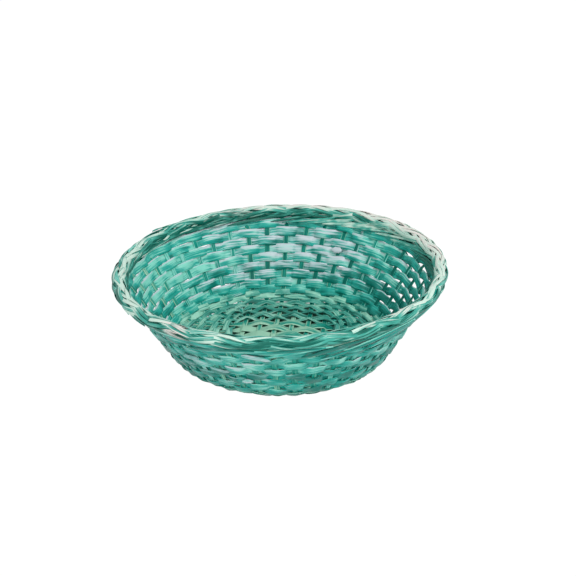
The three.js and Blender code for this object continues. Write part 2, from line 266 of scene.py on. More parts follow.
# %% From swept arrays to one mesh object
def splint_mesh(name, parts):
    """Makes one object from swept splints. Quads join neighbouring stations, and the ends of open
    splints are closed by one face each."""
    vertices, faces, uvs, tones, wears = [], [], [], [], []
    start = 0
    for part in parts:
        count = len(part["points"])
        spans = count if part["closed"] else count - 1
        station = np.arange(spans)[:, None]
        corner = np.arange(SECTION_POINTS)[None, :]
        ahead = (station + 1) % count
        beside = (corner + 1) % SECTION_POINTS
        here = station * SECTION_POINTS + corner
        quads = np.stack([
            here,
            ahead * SECTION_POINTS + corner,
            ahead * SECTION_POINTS + beside,
            station * SECTION_POINTS + beside,
        ], axis=-1)
        faces += (quads.reshape(-1, 4) + start).tolist()
        perimeter = section_perimeter * float(np.mean(part["half"]))
        u0 = np.broadcast_to(part["length"][station], here.shape)
        u1 = np.broadcast_to(part["length"][station + 1], here.shape)
        v0 = np.broadcast_to(perimeter[corner], here.shape)
        v1 = np.broadcast_to(perimeter[corner + 1], here.shape)
        u = np.stack([u0, u1, u1, u0], axis=-1)
        v = np.stack([v0, v0, v1, v1], axis=-1)
        uvs.append(np.stack([u, v], axis=-1).reshape(-1, 2) + part["shift"])
        if not part["closed"]:
            first = list(range(start, start + SECTION_POINTS))
            last = [index + (count - 1) * SECTION_POINTS for index in first]
            faces += [first, last[::-1]]
            ring = np.stack([np.zeros(SECTION_POINTS), perimeter[:-1]], axis=-1)
            uvs.append(ring + part["shift"])
            uvs.append(ring[::-1] + (part["length"][-1], 0.0) + part["shift"])
        vertices.append(settle(part["points"]).reshape(-1, 3))
        tones.append(part["tone"].ravel())
        wears.append(part["wear"].ravel())
        start += count * SECTION_POINTS
    mesh = bpy.data.meshes.new(name)
    mesh.from_pydata(np.concatenate(vertices).tolist(), [], faces)
    corners = np.concatenate(uvs).astype(np.float32)
    mesh.uv_layers.new(name="splint").data.foreach_set("uv", corners.ravel())
    for label, values in (("tone", tones), ("wear", wears)):
        attribute = mesh.attributes.new(label, "FLOAT", "POINT")
        attribute.data.foreach_set("value", np.concatenate(values).astype(np.float32))
    mesh.polygons.foreach_set("use_smooth", np.ones(len(mesh.polygons), bool))
    mesh.update()
    piece = bpy.data.objects.new(name, mesh)
    bpy.context.scene.collection.objects.link(piece)
    return piece


# %% [markdown]
# ## Tone and wear
# The dye took unevenly, and handling and light have faded it. The middle of the back wall has
# faded to a greyish lilac. The left of the wall is paler, and the right and parts of the front are
# deeper: partly the dye, and partly painted light on the left and painted shade on the right.
# Such a patch is worked out from where a point is, so it runs over neighbouring splints as it does
# on the real basket. Each splint then adds a tone of its own, which wanders along it.


# %% Bells, easing and patches
def bell(value, centre, spread):
    """One at the centre, and falling off on both sides as a Gaussian."""
    return np.exp(-((value - centre) / spread) ** 2)


def ease(value, low, high):
    """Nothing below low, one above high, and three squares less two cubes of the share between."""
    share = np.clip((value - low) / (high - low), 0, 1)
    return share ** 2 * (3 - 2 * share)


def signed(angle):
    """An angle brought between minus half a turn and half a turn."""
    return np.where(angle > math.pi, angle - FULL_TURN, angle)


def angle_of(points):
    """Angle round the basket, from its right end and anticlockwise as seen from above."""
    return np.arctan2(points[..., 1], points[..., 0])


# Patches: how much each adds, the angle round the basket that it is centred on and its spread in
# radians, and where it doesn't run all the way up, its middle height and spread in millimetres.
INSIDE_FADES = [(0.7, 1.35, 0.55, 38, 24), (0.38, 2.1, 0.4)]
OUTSIDE_FADES = [(0.38, 0.6 * math.pi, 0.5, 30, 20), (0.38, -0.6 * math.pi, 0.5, 30, 20)]
# The paler left and the deeper right and front are partly painted light and painted shade.
DYE_LIGHT_AND_SHADE_PATCHES = [
    (0.17, 0.9 * math.pi, 0.7),
    (-0.4, 0.15, 0.55),
    (-0.35, 0.55, 0.35, 28, 14),
    (0.35, 0.9, 0.3, 56, 12),
    (-0.24, -0.9, 0.6),
    (-0.6, -2.5, 0.5),
]


def add_patches(points, patches):
    """Sum of the patches at each point: the amount times a bell in the angle, and times a bell in
    the height where the patch has one."""
    total = 0.0
    for amount, centre, spread, *band in patches:
        there = amount * bell(angle_of(points), centre, spread)
        if band:
            there = there * bell(points[..., 2], band[0] * MM, band[1] * MM)
        total = total + there
    return total


print("bell and ease half way:", bell(0.5, 0, 1), ease(0.5, 0, 1))

# %% Dressing a splint
# The wear that every splint has, and how far at most its fibres are moved in the pattern, in metres.
EVEN_WEAR = 0.06
FIBRE_SHIFT = 40.0


def dress(part, rng, base, spread, extra_wear=0.0, edge_wear_and_light=0.0, place=1.0, waves=9, drift=0.5):
    """Gives a swept splint its dye tone, its wear and its own place in the fibre pattern. The spread
    sets splints apart, and drift, a share of it, is how much the tone wanders along one. Edge wear
    and light adds to one long edge and takes from the other, as wear and as painted light and shade
    across the splint, and place is how far the dye and the painted light and shade go by place."""
    points = part["points"]
    share = part["length"][: len(points)] / part["length"][-1]
    own = base + spread * rng.normal() + drift * spread * wander(share, waves, rng)
    faded = add_patches(points, INSIDE_FADES) * INSIDE_SHARE
    faded = faded + add_patches(points, OUTSIDE_FADES) * (1 - INSIDE_SHARE)
    part["tone"] = own[:, None] + place * add_patches(points, DYE_LIGHT_AND_SHADE_PATCHES)
    # One long edge more worn and the other less, which also paints light and shade across the splint.
    part["wear"] = EVEN_WEAR + faded + extra_wear - edge_wear_and_light * section_across
    part["shift"] = rng.uniform(0, FIBRE_SHIFT, 2)
    return part


print("patches of dye and of fading:", len(DYE_LIGHT_AND_SHADE_PATCHES), len(INSIDE_FADES + OUTSIDE_FADES))

# %% [markdown]
# ## Where the stakes stand
# The six strips each way in the mat keep parallel until they have fanned out to their place on the
# wall. Five corner stakes fill each corner. All forty-four are one pitch apart at the wall. The
# weavers need each stake's place at any radius, so this is a function too.

# %% Numbers of the stakes
MAT_STRIPS = 6
CORNER_STAKES = 5
MAT_PITCH = 12.5 * MM
CORNER_FAN = 0.7
STAKE_LEAN = 0.6 * MM
HALF_MAT = MAT_STRIPS // 2
QUARTER_STAKES = MAT_STRIPS + CORNER_STAKES
STAKE_COUNT = 4 * QUARTER_STAKES
STAKE_PITCH = FULL_TURN / STAKE_COUNT
outer_index = (MAT_STRIPS - 1) / 2
outer_rank = (CORNER_STAKES - 1) // 2
fan_radius = outer_index * MAT_PITCH / math.sin(outer_index * STAKE_PITCH)
lean = draws(1).normal(scale=STAKE_LEAN, size=STAKE_COUNT)


def is_corner(number):
    """Whether a stake is one of the short ones that fill a corner."""
    return HALF_MAT <= number % QUARTER_STAKES < HALF_MAT + CORNER_STAKES


def corner_rank(number):
    """Place of a corner stake in its corner, counted from the middle one."""
    return number % QUARTER_STAKES - HALF_MAT - outer_rank


print("stakes:", STAKE_COUNT, "fan radius:", round(fan_radius, 4))


# %% Angles of the stakes
def strip_angle(index, radius):
    """Angle of a mat strip off its quarter: the arcsine of its sideways place over the radius,
    until that falls to its place on the wall."""
    sideways = index * MAT_PITCH
    inside = np.abs(sideways) / np.maximum(radius, np.abs(sideways))
    return np.sign(index) * np.maximum(np.arcsin(inside), np.abs(index) * STAKE_PITCH)


def corner_angle(rank, radius):
    """Angle of a corner stake off the corner: they draw together towards the mat, and the two outer
    ones keep midway between their neighbours."""
    inner = STAKE_PITCH * np.minimum(1, 1 - CORNER_FAN * (1 - radius / fan_radius))
    neighbour = QUARTER / 2 - strip_angle(outer_index, radius)
    between = inner + (neighbour - inner) * (outer_rank - 1) / outer_rank
    return np.where(abs(rank) < outer_rank, rank * inner, np.sign(rank) * between)


def stake_angle(number, radius):
    """Angle of one stake at each radius, with the small lean that it has up the wall."""
    radius = np.asarray(radius, float)
    quarter, place = divmod(number, QUARTER_STAKES)
    if is_corner(number):
        angle = quarter * QUARTER + QUARTER / 2 + corner_angle(corner_rank(number), radius)
    elif place < HALF_MAT:
        angle = quarter * QUARTER + strip_angle(place + 0.5, radius)
    else:
        angle = (quarter + 1) * QUARTER + strip_angle(place - QUARTER_STAKES + 0.5, radius)
    climb = np.clip((radius - FOOT_RADIUS) / (RIM_RADIUS - FOOT_RADIUS), 0, 1)
    return angle + lean[number] * climb / RIM_RADIUS


print("first stake at the foot and at the rim:", stake_angle(0, [FOOT_RADIUS, RIM_RADIUS]))

# %% [markdown]
# ## Materials: fibres and dye
# Two effects are shared by all the splints, so each is a node group, built once. The first makes
# bamboo's fibres: noise stretched far along the splint's own UV map. The second turns tone, wear
# and the fibres into a colour. As the tone rises it goes from a deep teal over a middle aqua to a
# pale mint, and wear then turns it towards a faded colour.


# %% Colour helper and node shorthand
def dye(red, green, blue):
    """A colour given as it looks on a screen, 0 to 255, turned into Blender's linear values."""
    def linear(value):
        share = value / 255
        return share / 12.92 if share <= 0.04045 else ((share + 0.055) / 1.055) ** 2.4
    return (linear(red), linear(green), linear(blue), 1.0)


def node(tree, kind, **settings):
    """Adds a node, with its settings, to a tree."""
    made = tree.nodes.new(kind)
    for key, value in settings.items():
        setattr(made, key, value)
    return made


def feed(tree, socket, value):
    """Links a socket to a value that is another socket, and otherwise sets it."""
    if isinstance(value, bpy.types.NodeSocket):
        tree.links.new(value, socket)
    else:
        socket.default_value = value


def math_node(tree, operation, first, second):
    """Adds a math node. Each operand is a socket or a number."""
    made = node(tree, "ShaderNodeMath", operation=operation)
    feed(tree, made.inputs[0], first)
    feed(tree, made.inputs[1], second)
    return made.outputs[0]


def mix_colour(tree, factor, first, second):
    """Mixes two colours, each a socket or a colour, by a factor socket or number."""
    made = node(tree, "ShaderNodeMix", data_type="RGBA")
    feed(tree, made.inputs["Factor"], factor)
    feed(tree, made.inputs[6], first)
    feed(tree, made.inputs[7], second)
    return made.outputs[2]


def smooth_step(tree, value, low, high):
    """Maps a value smoothly from 0 at low to 1 at high."""
    made = node(tree, "ShaderNodeMapRange", interpolation_type="SMOOTHSTEP")
    feed(tree, made.inputs["Value"], value)
    feed(tree, made.inputs["From Min"], low)
    feed(tree, made.inputs["From Max"], high)
    return made.outputs["Result"]


def group_tree(name, inputs, outputs):
    """A shader node group with named float, colour and vector sockets."""
    tree = bpy.data.node_groups.new(name, "ShaderNodeTree")
    for label, kind in inputs:
        tree.interface.new_socket(name=label, in_out="INPUT", socket_type=kind)
    for label, kind in outputs:
        tree.interface.new_socket(name=label, in_out="OUTPUT", socket_type=kind)
    return tree, node(tree, "NodeGroupInput"), node(tree, "NodeGroupOutput")


print("a middle aqua in linear values:", dye(28, 162, 148))

# %% The fibre group
FLOAT, COLOUR, VECTOR = "NodeSocketFloat", "NodeSocketColor", "NodeSocketVector"

# Name, waves a metre along the splint and across it, and how much finer detail is added.
FIBRE_LAYERS = [("Streak", 38, 900, 2), ("Fibre", 90, 4200, 2), ("Blotch", 60, 160, 3)]
LAYER_SOCKETS = [(layer[0], FLOAT) for layer in FIBRE_LAYERS]


def stretched_noise(tree, vector, along, across, detail):
    """Noise with a given number of waves a metre along the splint and across it."""
    scaled = node(tree, "ShaderNodeVectorMath", operation="MULTIPLY")
    feed(tree, scaled.inputs[0], vector)
    feed(tree, scaled.inputs[1], (along, across, 1.0))
    noise = node(tree, "ShaderNodeTexNoise", noise_dimensions="2D")
    feed(tree, noise.inputs["Vector"], scaled.outputs[0])
    feed(tree, noise.inputs["Scale"], 1.0)
    feed(tree, noise.inputs["Detail"], detail)
    return noise.outputs["Fac"]


fibre_group, fibre_in, fibre_out = group_tree("Bamboo fibres", [("Vector", VECTOR)], LAYER_SOCKETS)
for label, *waves in FIBRE_LAYERS:
    value = stretched_noise(fibre_group, fibre_in.outputs["Vector"], *waves)
    fibre_group.links.new(value, fibre_out.inputs[label])
print("fibre group nodes:", len(fibre_group.nodes))

# %% The dye group
DYE_NUMBERS = [("Mottle", FLOAT), ("Tone", FLOAT), ("Wear", FLOAT)]
DYE_COLOURS = [(label, COLOUR) for label in ("Deep", "Middle", "Pale", "Faded")]
# How strongly each layer of the fibres shifts the dye, and the share of it that shifts the wear.
LAYER_SHARES = [("Streak", 2.2), ("Blotch", 1.6), ("Fibre", 0.9)]
WEAR_SHARE = 0.8
# Between which tones the deep colour turns into the middle one and that into the pale one, and
# between which wears the dye fades.
DEEP_TO_MIDDLE = (-0.15, 0.5)
MIDDLE_TO_PALE = (0.5, 1.15)
FADES_BETWEEN = (0.45, 1.15)
LOW_ROUGHNESS = 0.26
STREAK_ROUGHNESS = 0.3

dye_group, dye_in, dye_out = group_tree(
    "Uneven dye", LAYER_SOCKETS + DYE_NUMBERS + DYE_COLOURS, [("Color", COLOUR), ("Roughness", FLOAT)]
)
given = dye_in.outputs
uneven = 0.0
for label, strength in LAYER_SHARES:
    centred = math_node(dye_group, "SUBTRACT", given[label], 0.5)
    layer = math_node(dye_group, "MULTIPLY", centred, strength)
    uneven = math_node(dye_group, "ADD", uneven, layer)
uneven = math_node(dye_group, "MULTIPLY", uneven, given["Mottle"])
depth = math_node(dye_group, "ADD", given["Tone"], uneven)
to_middle = smooth_step(dye_group, depth, *DEEP_TO_MIDDLE)
to_pale = smooth_step(dye_group, depth, *MIDDLE_TO_PALE)
wetted = mix_colour(dye_group, to_middle, given["Deep"], given["Middle"])
dyed = mix_colour(dye_group, to_pale, wetted, given["Pale"])
uneven_wear = math_node(dye_group, "MULTIPLY", uneven, WEAR_SHARE)
worn = math_node(dye_group, "ADD", given["Wear"], uneven_wear)
faded = mix_colour(dye_group, smooth_step(dye_group, worn, *FADES_BETWEEN), dyed, given["Faded"])
dye_group.links.new(faded, dye_out.inputs["Color"])
streak_matt = math_node(dye_group, "MULTIPLY", given["Streak"], STREAK_ROUGHNESS)
matt = math_node(dye_group, "ADD", streak_matt, LOW_ROUGHNESS)
dye_group.links.new(matt, dye_out.inputs["Roughness"])
print("dye group nodes:", len(dye_group.nodes))

# %% [markdown]
# ## Six finishes
# The splints of the stakes, the mat, the floor, the wall, the rim and the core took the dye
# differently, so each kind has its own four colours. Mottle is how blotchy it is, and gloss is how
# much of the light its hard outer skin mirrors: the mat and the stakes are dull, the rim and the
# wall have a little shine, and the floor and the core have the most.

# %% One bamboo material for each finish
FIBRE_STRENGTH = 0.35
FIBRE_HEIGHT = 0.15 * MM


def bamboo(name, deep, middle, pale, faded, mottle, gloss=0.35):
    """A dyed bamboo material. The fibres also raise the surface a little, through a Bump node."""
    material = bpy.data.materials.new(name)
    material.use_nodes = True
    tree = material.node_tree
    shader = tree.nodes["Principled BSDF"]
    place = node(tree, "ShaderNodeUVMap", uv_map="splint")
    fibres = node(tree, "ShaderNodeGroup", node_tree=fibre_group)
    colour = node(tree, "ShaderNodeGroup", node_tree=dye_group)
    bump = node(tree, "ShaderNodeBump")
    feed(tree, fibres.inputs["Vector"], place.outputs["UV"])
    for label, _ in LAYER_SOCKETS:
        feed(tree, colour.inputs[label], fibres.outputs[label])
    for label, attribute in (("Tone", "tone"), ("Wear", "wear")):
        read = node(tree, "ShaderNodeAttribute", attribute_name=attribute)
        feed(tree, colour.inputs[label], read.outputs["Fac"])
    for (label, _), value in zip(DYE_COLOURS, (deep, middle, pale, faded)):
        feed(tree, colour.inputs[label], value)
    feed(tree, colour.inputs["Mottle"], mottle)
    relief = math_node(tree, "ADD", fibres.outputs["Fibre"], fibres.outputs["Streak"])
    feed(tree, bump.inputs["Strength"], FIBRE_STRENGTH)
    feed(tree, bump.inputs["Distance"], FIBRE_HEIGHT)
    feed(tree, bump.inputs["Height"], relief)
    feed(tree, shader.inputs["Specular IOR Level"], gloss)
    feed(tree, shader.inputs["Normal"], bump.outputs["Normal"])
    feed(tree, shader.inputs["Base Color"], colour.outputs["Color"])
    feed(tree, shader.inputs["Roughness"], colour.outputs["Roughness"])
    return material


LILAC = dye(194, 204, 210)
stake_finish = bamboo(
    "stake bamboo", dye(0, 98, 86), dye(10, 140, 124), dye(122, 204, 188), LILAC,
    mottle=0.8, gloss=0.1,
)
slat_finish = bamboo(
    "mat bamboo", dye(0, 100, 88), dye(24, 146, 128), dye(154, 202, 176), dye(180, 210, 188),
    mottle=0.7, gloss=0.1,
)
floor_finish = bamboo(
    "floor bamboo", dye(0, 90, 78), dye(52, 148, 132), dye(146, 206, 184), dye(176, 208, 196),
    mottle=0.9,
)
wall_finish = bamboo(
    "wall bamboo", dye(0, 114, 102), dye(28, 162, 148), dye(128, 210, 192), LILAC,
    mottle=0.85, gloss=0.25,
)
rim_finish = bamboo(
    "rim bamboo", dye(0, 96, 82), dye(66, 162, 146), dye(194, 220, 206), dye(222, 212, 206),
    mottle=0.75, gloss=0.22,
)
core_shade_finish = bamboo(
    "core bamboo", dye(0, 66, 60), dye(10, 98, 88), dye(84, 168, 154), LILAC, mottle=0.7,
)
print("materials:", [material.name for material in bpy.data.materials])


# %% Handing a piece over to the frame
def finish_piece(piece, material, slot, *replaced):
    """Gives a piece its material and its body, and hides the frame's nodes that it stands for. The
    slot is not used.
    """
    piece.data.materials.append(material)
    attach(piece, "root")
    if replaced:
        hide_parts(*replaced)


print("nodes that the pieces stand for:", len(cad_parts))

# %% [markdown]
# ## Weavers
# A weaver rides high over one stake and dives under the next. Counting stakes along its path gives
# a running number, and a cosine of that number times pi is the weave. Stiff narrow splints stay
# nearly straight between the stakes, which draws a peaked wave, and wide ones bend into flatter
# bricks. So each kind blends a triangle wave and a flattened one.

# %% Crossing points and the shape of the weave
CROSSING_ROUNDS = 60
FLATNESS = 2.4


def crossings(path, numbers):
    """Angles at which a path, given as a radius for each angle, meets the stakes, found by
    stepping half way towards each stake's own angle again and again."""
    angles = np.array([stake_angle(number, RIM_RADIUS) for number in numbers])
    for _ in range(CROSSING_ROUNDS):
        radii = path(angles)
        there = [stake_angle(number, radius) for number, radius in zip(numbers, radii)]
        angles = (angles + np.array(there)) / 2
    return angles


def running_number(angles, crossed_at):
    """Stakes counted along a hoop, with fractions between them."""
    count = len(crossed_at)
    known = np.concatenate([crossed_at - FULL_TURN, crossed_at, crossed_at + FULL_TURN])
    return np.interp(angles, known, np.arange(-count, 2 * count))


def weave(count, peak):
    """The weave at a running stake number: a triangle wave where peak is 1, and a wave with flat
    tops where it is 0."""
    wave = np.cos(math.pi * count)
    triangle = np.arcsin(wave) * 2 / math.pi
    flattened = np.tanh(FLATNESS * wave) / math.tanh(FLATNESS)
    return peak * triangle + (1 - peak) * flattened


print("the weave from one stake to the next:", weave(np.linspace(0, 1, 5), 0.5))

# %% One woven hoop
# Waves round the hoop in the wander of its place, of its place outside the stakes, of its lift, of
# its width and of its roll.
PLACE_WAVES, OUTSIDE_WAVES, LIFT_WAVES, WIDTH_WAVES, ROLL_WAVES = 26, 70, 20, 60, 40
LIFT_UNEVENNESS = 0.1
WIDTH_UNEVENNESS = 0.05
DIP_BOW_SHARE = 0.3


def hoop_weaver(
    path, numbers, parity, width, rise, dip, peak, rng, bow, steps, wobble, tilt, outer_wobble=0.0,
):
    """A closed weaver. Its offset from the mid surface is the weave times the rise where it is over
    a stake and times the dip where it is under one. Its place wanders by the wobble, and by the
    outer wobble more where it is outside a stake. Its width wanders too, most on the outside, and
    its roll by the tilt, in degrees. The width may be a function of the angle and the weave, and
    the bow, which is the section's crown, a function of the angle."""
    share = np.arange(steps) / steps
    angles = FULL_TURN * share
    radii = path(angles) + wobble * wander(share, PLACE_WAVES, rng)
    count = running_number(angles, crossings(path, numbers)) + parity
    even_wave = np.cos(math.pi * count)
    outside = np.clip(-even_wave, 0, 1)
    radii = radii + outer_wobble * outside * wander(share, OUTSIDE_WAVES, rng)
    wave = weave(count, peak)
    lift = np.where(wave > 0, rise, dip) * wave
    lift = lift * (1 + LIFT_UNEVENNESS * wander(share, LIFT_WAVES, rng))
    centre, normal = on_surface(radii, angles, lift)
    uneven = 1 + WIDTH_UNEVENNESS * (1 + outside) * wander(share, WIDTH_WAVES, rng)
    widths = (width(angles, even_wave) if callable(width) else width) * uneven
    roll = math.radians(tilt) * wander(share, ROLL_WAVES, rng)
    bow = bow(angles) if callable(bow) else bow
    crown = bow * wave * np.where(wave > 0, 1, DIP_BOW_SHARE)
    return sweep(centre, normal, widths, THIN_SPLINT, crown, closed=True, roll=roll)


print("waves in the wander of a weaver's place:", PLACE_WAVES)

# %% [markdown]
# ## Floor weavers
# Six narrow weavers lock the floor. The first follows the square mat with rounded corners, and the
# sixth is the round foot. A power mean of sine and cosine gives the rounded square, and the rows
# between are blends of the two. Where the rows lie close, at the mat's corners, they are narrower.

# %% Paths and widths of the floor weavers
SLAT_SHOULDER = 0.6 * MM
SLAT_TAPER = 6.2 * MM
SLAT_WIDE_END = outer_index * MAT_PITCH + STAKE_WIDTH / 2 + SLAT_SHOULDER
MAT_HALF = SLAT_WIDE_END + SLAT_TAPER
MAT_RING = MAT_HALF + FLOOR_WEAVER_WIDTH / 2
SQUARENESS = 8
FLOOR_ROWS = 6
FLOOR_SPLINT_WIDTH = 5.2 * MM
FLOOR_OVERLAP = 0.3 * MM
CORNER_LOCK_ROW = 2


def square_ring(angle):
    """Radius of a square with round corners: its half side over the power mean of the angle's
    cosine and sine."""
    powers = np.abs(np.cos(angle)) ** SQUARENESS + np.abs(np.sin(angle)) ** SQUARENESS
    return MAT_RING / powers ** (1 / SQUARENESS)


def floor_path(row):
    """Radius for each angle of one floor weaver, from the square ring to the round foot."""
    share = row / (FLOOR_ROWS - 1)
    return lambda angle: (1 - share) * square_ring(angle) + share * FOOT_RADIUS


def floor_width(angle, wave):
    """Width of a floor weaver: what the pitch allows at that angle, up to its own full width."""
    pitch = (FOOT_RADIUS - square_ring(angle)) / (FLOOR_ROWS - 1)
    return np.minimum(FLOOR_SPLINT_WIDTH, pitch + FLOOR_OVERLAP)


def first_row(number):
    """First floor weaver that crosses a stake."""
    if not is_corner(number):
        return 0
    return CORNER_LOCK_ROW if abs(corner_rank(number)) < outer_rank else FLOOR_ROWS - 1


print("the mat's ring and the foot:", round(MAT_RING, 4), round(FOOT_RADIUS, 4))

# %% Floor weavers
FLOOR_LIFT, FLOOR_DIP, FLOOR_BOW = 2.4 * MM, 1.3 * MM, 0.1 * MM
FOOT_LIFT, FOOT_DIP = 1.6 * MM, 0.8 * MM
FLOOR_PEAK = 0.85
FLOOR_STEPS = 700
FLOOR_WOBBLE = 0.45 * MM
FLOOR_TILT = 8
FLOOR_TONE = 0.55
MAT_SIDE_TONE = 0.2
MAT_SIDE_ROWS = 3
FLOOR_EDGE_LIGHT_AND_SHADE = 0.22


def floor_hoop(row, path, width, rise, dip, bow):
    """One hoop of the floor or of the corner above it, over the stakes that have started by its
    row. It is paler in the rows next to the mat. Its outer edge, which is the upper one where it
    climbs, gets a painted highlight, and its other edge painted shade."""
    rng = draws(2, row)
    crossed = [number for number in range(STAKE_COUNT) if first_row(number) <= row]
    hoop = hoop_weaver(
        path, crossed, row, width, rise, dip, FLOOR_PEAK, rng, bow,
        steps=FLOOR_STEPS, wobble=FLOOR_WOBBLE, tilt=FLOOR_TILT,
    )
    base = FLOOR_TONE + MAT_SIDE_TONE * max(0, 1 - row / MAT_SIDE_ROWS)
    hoop = dress(hoop, rng, base, spread=0.2, extra_wear=-0.1, waves=30)
    # Painted highlight on the upper edge and painted shade on the lower one.
    hoop["tone"] -= FLOOR_EDGE_LIGHT_AND_SHADE * section_across
    return hoop


for row in range(FLOOR_ROWS):
    if row < FLOOR_ROWS - 1:
        sizes = (floor_width, FLOOR_LIFT, FLOOR_DIP, FLOOR_BOW)
    else:
        sizes = (FLOOR_SPLINT_WIDTH, FOOT_LIFT, FOOT_DIP, FLOOR_BOW)
    hoop = floor_hoop(row, floor_path(row), *sizes)
    piece = splint_mesh(f"floor_weaver_splint_{row + 1}", [hoop])
    finish_piece(piece, floor_finish, "floor_weaver", f"floor_weaver_{row + 1}")
print("floor weavers:", FLOOR_ROWS)

# %% [markdown]
# ## Corner weavers
# Five more weavers climb the rounded corner from the foot to the wall, where the frame has three.
# At the back they are evenly spaced, and most of them are narrow. At the front three are wide and
# the other two only a millimetre, so their places and widths ease from one set to the other at the
# sides. The five are kept in three pieces, one for each node.

# %% Corner weavers
CORNER_ROWS = 3
CORNER_PITCH = 6 * MM
CORNER_HOOPS = 5
CORNER_HOOP_PITCH = CORNER_ROWS * CORNER_PITCH / CORNER_HOOPS
CORNER_START = 1.08
CORNER_LIFT, CORNER_DIP, CORNER_BOW = 1.7 * MM, 0.75 * MM, 0.3 * MM
FRONT_PLACES = np.array([4.0, 10.0, 12.6, 13.6, 16.4]) * MM
FRONT_WIDTHS = np.array([7.4, 7.6, 1.0, 1.0, 7.0]) * MM
BACK_WIDTHS = np.array([4.1, 4.3, 4.7, 5.1, 7.2]) * MM
FRONT_EASES = (-0.2, 0.4)
CORNER_BACK_TONE = 0.04


def front_share(angle):
    """One on the front half of the basket and nothing on the back, easing from one to the other."""
    return ease(-np.sin(angle), *FRONT_EASES)


def corner_path(order):
    """Path of a corner hoop: at even places at the back, and at the front at its own place."""
    back = (order + CORNER_START) * CORNER_HOOP_PITCH
    front = FRONT_PLACES[order]
    return lambda angle: radius_up(back + (front - back) * front_share(angle))


def corner_width(order):
    """Width of a corner hoop, which at the front is a wide one or a thin one between the wide."""
    back, front = BACK_WIDTHS[order], FRONT_WIDTHS[order]
    return lambda angle, wave: back + (front - back) * front_share(angle)


corner_hoops = []
for order in range(CORNER_HOOPS):
    sizes = (corner_width(order), CORNER_LIFT, CORNER_DIP, CORNER_BOW)
    hoop = floor_hoop(FLOOR_ROWS + order, corner_path(order), *sizes)
    hoop["tone"] += CORNER_BACK_TONE * (1 - front_share(angle_of(hoop["points"])))
    corner_hoops.append(hoop)
for order in range(CORNER_ROWS):
    number = FLOOR_ROWS + order + 1
    piece = splint_mesh(f"floor_weaver_splint_{number}", corner_hoops[2 * order:2 * order + 2])
    finish = floor_finish if order < CORNER_ROWS - 1 else wall_finish
    finish_piece(piece, finish, "floor_weaver", f"floor_weaver_{number}")
print("corner weavers:", len(corner_hoops), "in pieces:", CORNER_ROWS)

# %% [markdown]
# ## Wall weavers
# Eight wide weavers make the wall. Their crown turns with the weave, so each brick bulges to the
# side that it shows on. They are fuller at the back, nearly flat at the left, and thinner at the
# right end, where they swing up and down round the stakes and light shows between them.

# %% Sizes and shapes of the wall weavers
WALL_ROWS = 8
WALL_WEAVER_WIDTH = 7.3 * MM
WALL_LIFT, WALL_DIP = 0.8 * MM, 0.7 * MM
WALL_BOW, BACK_BOW, LEFT_FLATNESS = 0.9 * MM, 0.35 * MM, 0.7 * MM
OPEN_ZIGZAG = 0.8 * MM
OPEN_THINNING = 0.2
OUTER_SWELL = 0.14
BACK_SWELL = 0.075
# Places round the wall, each a centre angle and a spread in radians.
OPEN_END = (0.28, 0.36)
SWOLLEN_BACK = (1.55, 0.75)
BOWED_BACK = (1.4, 0.6)
FLAT_LEFT = (0.95 * math.pi, 0.8)

band_low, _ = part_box("rim_inner_band")
wall_bottom = CORNER_ROWS * CORNER_PITCH + FLOOR_WEAVER_WIDTH / 2
wall_top = rim_distance - (RIM_HEIGHT - band_low.z) / math.sin(WALL_SLOPE)


def wall_opening(angle):
    """How open the wall is: light shows between its rows at the right end."""
    return bell(signed(angle), *OPEN_END)


def wall_width(angle, wave):
    """Width of a wall weaver: fuller at the back and where it passes outside a stake, and thinner
    where the wall is open."""
    fuller = OUTER_SWELL * np.clip(-wave, 0, 1) + BACK_SWELL * bell(signed(angle), *SWOLLEN_BACK)
    return WALL_WEAVER_WIDTH * (1 + fuller - OPEN_THINNING * wall_opening(angle))


def wall_bow(angle):
    """Crown of a wall weaver: more at the back, and nearly flat at the left."""
    left = bell(np.abs(signed(angle)), *FLAT_LEFT)
    return WALL_BOW + BACK_BOW * bell(signed(angle), *BOWED_BACK) - LEFT_FLATNESS * left


def wall_path(radius, parity):
    """A level path that swings up and down from stake to stake where the wall is open."""
    def path(angle):
        count = angle / STAKE_PITCH - 0.5 + parity
        return radius + OPEN_ZIGZAG * wall_opening(angle) * np.cos(math.pi * count)
    return path


print("the wall's weavers lie between", round(wall_bottom, 4), "and", round(wall_top, 4))

# %% Wall weavers
WALL_PEAK = 0.1
WALL_STEPS = 900
WALL_WOBBLE, OUTER_WOBBLE = 0.22 * MM, 0.28 * MM
WALL_TILT = 7
# Painted light and shade on the wall weavers: shade on the lower edge, a highlight on the upper edge,
# stronger at the left, and painted light on faces set back behind a stake.
LOWER_EDGE_SHADE = 0.22
TOP_EDGE_HIGHLIGHT_TONE = 0.6
TOP_EDGE_HIGHLIGHT_WEAR = 0.42
OUTER_EDGE_SHARE = 0.35
SET_BACK_LIGHT = 0.3
LEFT_HIGHLIGHT = (math.pi, 0.9)


